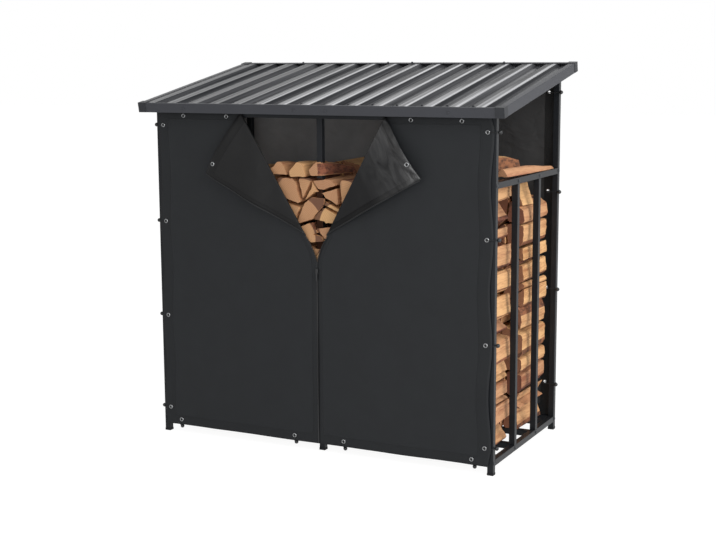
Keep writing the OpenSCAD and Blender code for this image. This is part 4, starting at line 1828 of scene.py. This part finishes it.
@dataclass
class Curtain(Sheet):
    """A front curtain: it hangs from its top, its top inner corner folded out and back.

    The V's straight sides would meet at fold_t. The fold starts at start_t, and the zip below it is open
    down to open_t. The slip and the draw are how far the flap slides along its fold and how much of its
    length lies flat.
    """

    side: int = 1
    fold_s: float = 321 * MM
    fold_t: float = 784 * MM
    start_t: float = 874 * MM
    open_t: float = 744 * MM
    open_curve: float = 1.8
    open_ease: float = 260 * MM
    fold_r: float = 5 * MM
    lift: float = math.radians(5)
    slip: float = 0.03
    draw: float = 0.97
    belly: float = 34 * MM
    belly_turn: float = 0.85 * math.pi
    belly_reach: float = 306 * MM
    belly_fold: float = 358 * MM
    belly_ease: float = 0.3
    ripple: float = 3 * MM
    ripple_wave: Point2 = (13, 24)
    ripple_ease: Point2 = (0.25, 60 * MM)
    front: float = -383.5 * MM
    base: float = 36 * MM
    off: float = 0.5 * MM
    pulls: Row = (74 * MM, 487 * MM, 900 * MM, 1313 * MM)
    edge_in: float = 170 * MM
    edge_out: float = 3 * MM
    edge_pull: Point2 = (5 * MM, 12 * MM)
    stand_off: float = 1.2 * MM
    wave: float = 3.5 * MM
    wave_low: float = 0.35
    wave_ease: float = 120 * MM
    droop: float = 4 * MM
    droop_least: float = -2 * MM
    droop_ease: float = 200 * MM
    tooth: float = 4 * MM
    tooth_mm: Point3 = (2.6, 1.6, 1.1)
    tooth_at: Point2 = (1.2 * MM, 0.4 * MM)
    slider_mm: Point3 = (6, 2.5, 10)
    slider_down: float = 14 * MM
    slider_out: float = 3.5 * MM
    pull_mm: Point3 = (3.5, 0.9, 17)
    pull_down: float = 22 * MM
    pull_out: float = 6.8 * MM

    def teeth(self) -> Thing:
        """Adds this curtain's row of zip teeth, with the slider on the right-hand curtain.

        Returns:
            The teeth as one piece.
        """
        shape = Shape()
        shift = 0.0 if self.side > 0 else self.tooth / 2
        aside, outward = self.tooth_at
        for k in range(int((self.size[1] - 2 * self.tooth) / self.tooth)):
            t = self.tooth + k * self.tooth + shift
            here, out = self.spot(self.off, t)
            rise = (self.hang(self.off, t + 1 * MM) - self.hang(self.off, t - 1 * MM)).normalized()
            across = rise.cross(out).normalized()
            turn = Matrix((across, out, rise)).transposed()
            shape.block(here + out * outward - across * self.side * aside, Vector(self.tooth_mm) * MM, turn)
        if self.side > 0:
            here, out = self.spot(self.off, self.open_t - self.slider_down)
            shape.block(here + out * self.slider_out, Vector(self.slider_mm) * MM)
            down = Vector((0, 0, -self.pull_down))
            shape.block(here + out * self.pull_out + down, Vector(self.pull_mm) * MM)
        return shape.piece(f"{self.name}_zip", Slot.CLOTH, [ZIP_PLASTIC])

    def fold_ways(self) -> tuple[Vector, Vector]:
        """Finds how the fold runs on the flat cut.

        Returns:
            The direction along the fold, and the one across it towards the flap.
        """
        rise = self.size[1] - self.start_t
        slant = math.hypot(self.fold_s, rise)
        way = Vector((self.fold_s / slant, rise / slant))
        return way, Vector((-way.y, way.x))

    def lines(self) -> list[tuple[Point2, Point2]]:
        """Lists lines beside the fold, so that it rolls over smoothly.

        Returns:
            The ends of each line.
        """
        height = self.size[1]
        way, out = self.fold_ways()
        found = []
        for k in range(-1, 8):
            shift = out * (k * math.pi * self.fold_r / 4)
            start, end = Vector((0, self.start_t)) + shift, Vector((self.fold_s, height)) + shift
            # Each line is cut to the cloth: at the zip's edge below and at the top edge above.
            start += way * (-start.x / way.x)
            end += way * ((height - end.y) / way.y)
            if 0 <= start.y < end.y <= height + 1e-6 and end.x > 1e-4:
                found.append(((max(start.x, 0.0), start.y), (end.x, height)))
        return found

    def hang(self, s: float, t: float) -> Vector:
        """Places a point of the flat cut: the panel with its slack, or the folded corner.

        Args:
            s: distance from the zip.
            t: height above the cloth's lower edge.

        Returns:
            The point in the row frame.
        """
        way, out = self.fold_ways()
        gap = Vector((s, t - self.start_t)).dot(out)
        if gap <= 0:
            from_edge = s - max(t - self.start_t, 0.0) * self.fold_s / (self.size[1] - self.start_t)
            return self.panel(s, t) + self.spread(t) * (1 - smooth(0, self.open_ease, from_edge))
        foot = Vector((s, t)) - out * gap
        crease = foot.y
        turn = math.pi * self.fold_r
        if gap < turn:
            angle = gap / self.fold_r
            level, raised = self.fold_r * math.sin(angle), self.fold_r * (1 - math.cos(angle))
        else:
            run = gap - turn
            along = foot.x / self.fold_s
            level, raised = -run * math.cos(self.lift) * self.draw, 2 * self.fold_r + self.billow(run, along)
            foot += way * self.slip * run
        flat = foot + out * level
        here = self.panel(flat.x, flat.y) + self.spread(crease)
        return here + Vector((0, -raised, 0))

    def billow(self, run: float, along: float) -> float:
        """Tells how far the flap stands off the panel.

        Args:
            run: distance from the fold.
            along: place along the fold, from 0 at its foot to 1 at its top.

        Returns:
            The distance, less the fold's own.
        """
        reach = self.belly_reach * self.fold_s / self.belly_fold
        belly = self.belly * math.sin(self.belly_turn * min(run / reach, 1.0))
        belly *= smooth(0, self.belly_ease, along)
        near_foot, near_fold = self.ripple_ease
        wave = math.sin(self.ripple_wave[0] * along + self.ripple_wave[1] * run)
        return belly + smooth(0, near_fold, run) * self.ripple * wave * smooth(0, near_foot, along)

    def spread(self, t: float) -> Vector:
        """Tells how far the fold and the open zip below it are drawn aside.

        Args:
            t: height above the cloth's lower edge.

        Returns:
            The way and distance that the cloth's edge is moved at that height.
        """
        height = self.size[1]
        most = self.fold_s * (self.start_t - self.fold_t) / (height - self.fold_t)
        if t >= self.start_t:
            share = (height - t) / (height - self.start_t)
        else:
            share = max((t - self.open_t) / (self.start_t - self.open_t), 0.0) ** self.open_curve
        return Vector((self.side * most * share, 0, 0))

    def panel(self, s: float, t: float) -> Vector:
        """Places a point of the panel, with its slack between the ties.

        Args:
            s: distance from the zip.
            t: height above the cloth's lower edge.

        Returns:
            The point in the row frame.
        """
        width, height = self.size
        slack = 1.0
        for low, high in zip((-self.pulls[0], *self.pulls), (*self.pulls, 2 * height - self.pulls[-1])):
            if low <= t < high:
                slack = math.sin(math.pi * (t - low) / (high - low)) ** 2
        edge = smooth(width - self.edge_in, width, s)
        # The waves are about 300 mm and 100 mm across, twice as long down the cloth, and differ by side.
        seed = 3.0 if self.side > 0 else 11.0
        broad = noise.noise(Vector((s * 3.2 + seed, t * 1.7, 0.0)))
        fine = noise.noise(Vector((s * 9 + seed, t * 4.0, 5.0)))
        wave = max(broad + 0.4 * fine + 0.5, 0.0)
        rail = min(1.0, smooth(0, self.wave_ease, t) + self.wave_low)
        out = self.stand_off + self.wave * wave * rail + self.edge_out * edge * slack
        x = s - edge * (self.edge_pull[0] + self.edge_pull[1] * slack)
        hang = noise.noise(Vector((s * 4 + seed, 0.0, 9.0)))
        low = self.droop * hang * (1 - smooth(0, self.droop_ease, t))
        z = self.base + t + max(low, self.droop_least)
        return Vector((self.side * (x + self.off), self.front - out, z))


@dataclass
class RearCover(Sheet):
    """The rear cover: tied to the posts, its left edge turned forward, with slanting wrinkles."""

    back: float = 383.6 * MM
    base: float = 36 * MM
    right: float = 773 * MM
    corner: float = -776.2 * MM
    round_r: float = 4 * MM
    stand_off: float = 0.6 * MM
    broad: float = 8 * MM
    fine: float = 2 * MM
    ease: float = 120 * MM
    pulls: Row = (171 * MM, 595 * MM, 1019 * MM, 1443 * MM)

    def hang(self, s: float, t: float) -> Vector:
        """Places a point of the flat cut.

        Args:
            s: distance across the cut from its right edge, seen from the front.
            t: height above the cloth's lower edge.

        Returns:
            The point in the row frame.
        """
        height = self.size[1]
        x = self.right - s
        # The wrinkles slant: about 250 mm and 90 mm across, and several times as long.
        broad = noise.noise(Vector((x * 3.4 - t * 2.3, x * 0.8 + t * 1.0, 2.0)))
        fine = noise.noise(Vector((x * 9 - t * 6.0, x * 1.6 + t * 1.6, 7.0)))
        inner = smooth(0, self.ease, min(s, max(x - self.corner, 0.0), t, height - t))
        rise = self.broad * max(broad + 0.45, 0.0) + self.fine * max(fine + 0.4, 0.0)
        y = self.back + (self.stand_off + rise * inner)
        over = (self.corner + self.round_r) - x
        if over > 0:
            turn = min(over / self.round_r, math.pi / 2)
            run = max(over - self.round_r * math.pi / 2, 0.0)
            x = self.corner + self.round_r - self.round_r * math.sin(turn)
            y += -self.round_r * (1 - math.cos(turn)) - run
        return Vector((x, y, self.base + t))


@dataclass
class Ties:
    """The elastic loops with balls that hold a cloth to its post and to the bottom rail.

    Each loop runs round the post at one of the heights, and each hook runs under the rail at one of the
    places. A loop starts at eye_x, and side_cloth is the cloth that lies between it and the post.
    """

    node: str
    side: int
    end: int
    heights: Row
    eye_x: float
    places: Row
    side_cloth: float = 0.0
    cord_r: float = 1.6 * MM
    cord_bend: float = 5 * MM
    sag: float = 1.2 * MM
    ball_r: float = 8.5 * MM
    ball_y: float = 370 * MM
    ball_seat: float = 0.95
    hook_y: float = 370 * MM
    outer: float = 776.9 * MM
    front: float = -386.8 * MM
    back: float = -355.6 * MM
    low: float = 33.3 * MM
    high: float = 58 * MM
    inner_down: float = 11 * MM

    def ball(self, shape: Shape, at: Vector, axis: Vector) -> None:
        """Adds a ball.

        Args:
            shape: the mesh it is added to.
            at: its centre.
            axis: the way its mould parted.
        """
        arc = [math.pi * k / 12 for k in range(13)]
        profile = [(self.ball_r * math.sin(a), -self.ball_r * math.cos(a)) for a in arc]
        profile[0], profile[-1] = (0.0, -self.ball_r), (0.0, self.ball_r)
        shape.lathe(profile, at, axis)

    def build(self) -> Thing:
        """Runs each loop from its eyelet round the post or under the rail to its ball.

        Returns:
            The loops and balls as one piece in place of their node.
        """
        shape, balls = Shape(), Shape()
        outer = self.outer + self.side_cloth
        slope = self.sag / (outer - self.eye_x)
        corners = [(self.eye_x, self.front), (outer, self.front), (outer, self.back), (self.eye_x, self.back)]
        loop = rounded_loop(corners, self.cord_bend)
        for z in self.heights:
            path = [Vector((self.side * x, -self.end * y, z - slope * (outer - x))) for x, y in loop]
            shape.sweep(path, self.cord_r, True)
            at = Vector((self.side * (outer + self.ball_r * self.ball_seat), self.end * self.ball_y, z))
            self.ball(balls, at, Vector((self.side, 0, 0)))
        hook = [(self.front + self.cord_bend, self.high), (self.front, self.high - 1 * MM)]
        hook += [(self.front, self.low), (self.back, self.low), (self.back, self.high - self.inner_down)]
        for x in self.places:
            route = rounded_line(hook, self.cord_bend)
            shape.sweep([Vector((self.side * x, -self.end * y, z)) for y, z in route], self.cord_r)
            at = Vector((self.side * x, self.end * self.hook_y, self.low - self.ball_r))
            self.ball(balls, at, Vector((0, 0, 1)))
        shape.grow(balls.points, balls.faces, 1)
        made = shape.piece(f"{self.node}_elastic", Slot.TIES, [CORD_RUBBER, BALL_PLASTIC])
        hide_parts(self.node)
        return made


def rounded_loop(corners: Sequence[Point2], radius: float, steps: int = 5) -> list[Point2]:
    """Rounds the corners of a rectangle's outline.

    Args:
        corners: the corners in order.
        radius: the corners' radius.
        steps: points on each rounded corner.

    Returns:
        The points of the closed outline.
    """
    found = []
    count = len(corners)
    for k, corner in enumerate(corners):
        here = Vector(corner)
        before = (Vector(corners[k - 1]) - here).normalized()
        after = (Vector(corners[(k + 1) % count]) - here).normalized()
        middle = here + (before + after) * radius
        for j in range(steps + 1):
            angle = math.pi / 2 * j / steps
            spot = middle - after * radius * math.cos(angle) - before * radius * math.sin(angle)
            found.append((spot.x, spot.y))
    return found


@dataclass(frozen=True)
class Studio:
    """The camera, the lights and the pale surroundings, with lengths in metres and powers in watts."""

    place: Point3 = (2.6096, -5.2118, 1.6485)
    yaw: float = math.radians(26.655)
    pitch: float = math.radians(9.102)
    roll: float = math.radians(-0.304)
    lens: float = 68.127
    sensor: float = 36.0
    aim: Point3 = (0.0, 0.0, 0.7)
    room: float = 0.55
    floor: float = 30.0
    paper: float = 0.86
    glow: float = 1.16
    glow_share: float = 0.8

    def camera(self) -> None:
        """Sets the camera where the photo was taken from."""
        data = bpy.data.cameras.new("camera")
        data.lens = self.lens
        data.sensor_width = self.sensor
        data.clip_end = 100
        eye = place("camera", data)
        turns = ((self.yaw, "Z"), (math.pi / 2 - self.pitch, "X"), (self.roll, "Z"))
        eye.matrix_world = Matrix.Translation(self.place)
        for angle, axis in turns:
            eye.matrix_world @= Matrix.Rotation(angle, 4, axis)
        bpy.context.scene.camera = eye

    def lamp(self, name: str, at: Point3, size: float, power: float) -> None:
        """Adds a square lamp aimed at the store.

        Args:
            name: the lamp's name.
            at: its place.
            size: its side.
            power: its power in watts.
        """
        data = bpy.data.lights.new(name, "AREA")
        data.size = size
        data.energy = power
        made = place(name, data)
        made.location = at
        made.rotation_euler = (Vector(self.aim) - Vector(at)).to_track_quat("-Z", "Y").to_euler()

    def surroundings(self) -> None:
        """Adds the floor and the even light of a white room."""
        world = bpy.data.worlds.new("white room")
        world.use_nodes = True
        bpy.context.scene.world = world
        tree = world.node_tree
        level = add(tree, "Mix", {0: self.seen(tree), 2: self.room, 3: 1.0})
        sky = add(tree, "Background", {"Color": WHITE, "Strength": level})
        connect(tree, tree.nodes["World Output"], {"Surface": sky})
        floor = bpy.data.meshes.new("floor")
        corners = [(x * self.floor, y * self.floor, 0) for x, y in ((-1, -1), (1, -1), (1, 1), (-1, 1))]
        floor.from_pydata(corners, [], [(0, 1, 2, 3)])
        floor.materials.append(self.matt_paper())
        place("floor", floor)

    def matt_paper(self) -> bpy.types.Material:
        """Makes the floor's paper: white to the eye, and matt where the store's shadow falls.

        Returns:
            The material.
        """
        pale = bpy.data.materials.new("paper, matt white")
        pale.use_nodes = True
        tree = pale.node_tree
        colour = (self.paper, self.paper, self.paper, 1)
        body = add(tree, "BsdfDiffuse", {"Color": colour})
        glow = add(tree, "Emission", {"Color": WHITE, "Strength": self.glow})
        share = add(tree, "Math", {0: self.seen(tree), 1: self.glow_share}, operation="MULTIPLY")
        both = add(tree, "MixShader", {0: share, 1: body, 2: glow})
        connect(tree, tree.nodes["Material Output"], {"Surface": both})
        return pale

    @staticmethod
    def seen(tree: Tree) -> Socket:
        """Tells rays that see the surroundings from rays that only light the store.

        Args:
            tree: the nodes to add to.

        Returns:
            1 for a camera, glossy or transmission ray, otherwise 0.
        """
        kinds = ("Camera", "Glossy", "Transmission")
        camera, glossy, through = (add(tree, "LightPath", out=f"Is {kind} Ray") for kind in kinds)
        direct = add(tree, "Math", {0: camera, 1: glossy}, operation="MAXIMUM")
        return add(tree, "Math", {0: direct, 1: through}, operation="MAXIMUM")

    def build(self) -> None:
        """Sets the camera, lamps and surroundings."""
        self.camera()
        self.surroundings()
        self.lamp("window right", (5.4, -1.8, 3.6), 6.0, 365)
        self.lamp("window front", (2.3, -6.2, 1.75), 3.5, 90)
        self.lamp("window rear", (-2.6, 4.6, 3.6), 4.5, 27)
        bpy.context.scene.view_settings.view_transform = "Standard"


@dataclass
class FrontCloths:
    """The two front curtains with their ties; the eyelets are places on the flat cut."""

    size: Point2 = (772.5 * MM, 1376.4 * MM)
    post_eye: float = 744.5 * MM
    top_eyes: Row = (419.5 * MM, 636.5 * MM)
    top_eye_t: float = 1354 * MM
    flap_eyes: Point2 = (64 * MM, 80 * MM)
    flap_eye_t: float = 1363 * MM
    low_eyes: Row = (115.5 * MM, 692.5 * MM)
    low_eye_t: float = 22 * MM
    tie_x: float = 745 * MM
    hook_x: Row = (116.25 * MM, 692.85 * MM)

    def curtain(self, side: int, name: str, flap_eye: float, **fold) -> None:
        """Hangs one curtain and ties it to its post.

        Args:
            side: -1 for the left one, 1 for the right one.
            name: the start of its pieces' names.
            flap_eye: how far the flap's eyelet lies from the zip.
            fold: how its flap folds, and the finish of its inside.
        """
        eyes = [(self.post_eye, t) for t in Curtain.pulls]
        eyes += [(flap_eye, self.flap_eye_t), *((s, self.top_eye_t) for s in self.top_eyes)]
        eyes += [(s, self.low_eye_t) for s in self.low_eyes]
        names = (f"{name}_cloth", f"{name}_curtain")
        cloth = Curtain(*names, self.size, eyes, side=side, turned=side < 0, corded=True, **fold)
        made = cloth.build()
        cloth.rings()
        cloth.teeth()
        LOG.info("curtain: %s", made.name)
        heights = tuple(t + cloth.base for t in cloth.pulls)
        ties = Ties(f"{name}_ties", side, -1, heights, self.tie_x, self.hook_x)
        LOG.info("ties: %s", ties.build().name)

    def build(self) -> None:
        """Hangs both curtains, each with its own fold."""
        left, right = self.flap_eyes
        self.curtain(-1, "front_left", left, fold_s=358 * MM, slip=0.261, draw=0.931, inside=CLOTH_INSIDE)
        self.curtain(1, "front_right", right, fold_s=321 * MM, slip=0.154, draw=1.006, inside=FLAP_INSIDE)


@dataclass
class RearCloth:
    """The rear cover with its ties; the eyelets are places on the flat cut."""

    size: Point2 = (1664 * MM, 1512.9 * MM)
    hems: Row = (70 * MM,) * 4
    post_eyes: Point2 = (51 * MM, 1495 * MM)
    rail_eyes: Row = (-465 * MM, -232.5 * MM, 232.5 * MM, 465 * MM)
    rail_eyes_t: Point2 = (22 * MM, 1491 * MM)
    tie_x: float = 722 * MM
    ball_y: float = 352 * MM
    left_cloth: float = 1.7 * MM

    def build(self) -> None:
        """Hangs the cover and ties it to its posts."""
        eyes = [(s, t) for s in self.post_eyes for t in RearCover.pulls]
        eyes += [(RearCover.right + x, t) for x in self.rail_eyes for t in self.rail_eyes_t]
        cloth = RearCover("rear_cloth", "rear_cover", self.size, eyes, self.hems, inside=COVER_INSIDE)
        made = cloth.build()
        cloth.rings()
        LOG.info("rear cover: %s", made.name)
        heights = tuple(t + cloth.base for t in cloth.pulls)
        for side, name in ((-1, "rear_left"), (1, "rear_right")):
            lap = self.left_cloth if side < 0 else 0.0
            hooks = self.rail_eyes[2:]
            ties = Ties(f"{name}_ties", side, 1, heights, self.tie_x, hooks, lap, ball_y=self.ball_y)
            LOG.info("ties: %s", ties.build().name)


def main() -> None:
    """Builds every piece in order."""
    logging.basicConfig(level=logging.INFO, format="%(message)s")
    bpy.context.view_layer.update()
    Studio().build()
    LOG.info("camera, lights and floor")
    steel = SteelFrame()
    steel.dress()
    LOG.info("frame: %s", steel.build().name)
    Roof().build()
    LOG.info("roof: sheets, trims, caps and screws")
    seeds = {"front_left_logs": 41, "front_right_logs": 42, "rear_left_logs": 43, "rear_right_logs": 52}
    for name, seed in seeds.items():
        LOG.info("firewood: %s", LogPile(name, seed).build().name)
    LOG.info("firewood: %s", LooseLogs("loose_logs", 45).build().name)
    FrontCloths().build()
    RearCloth().build()


if __name__ == "__main__":
    main()
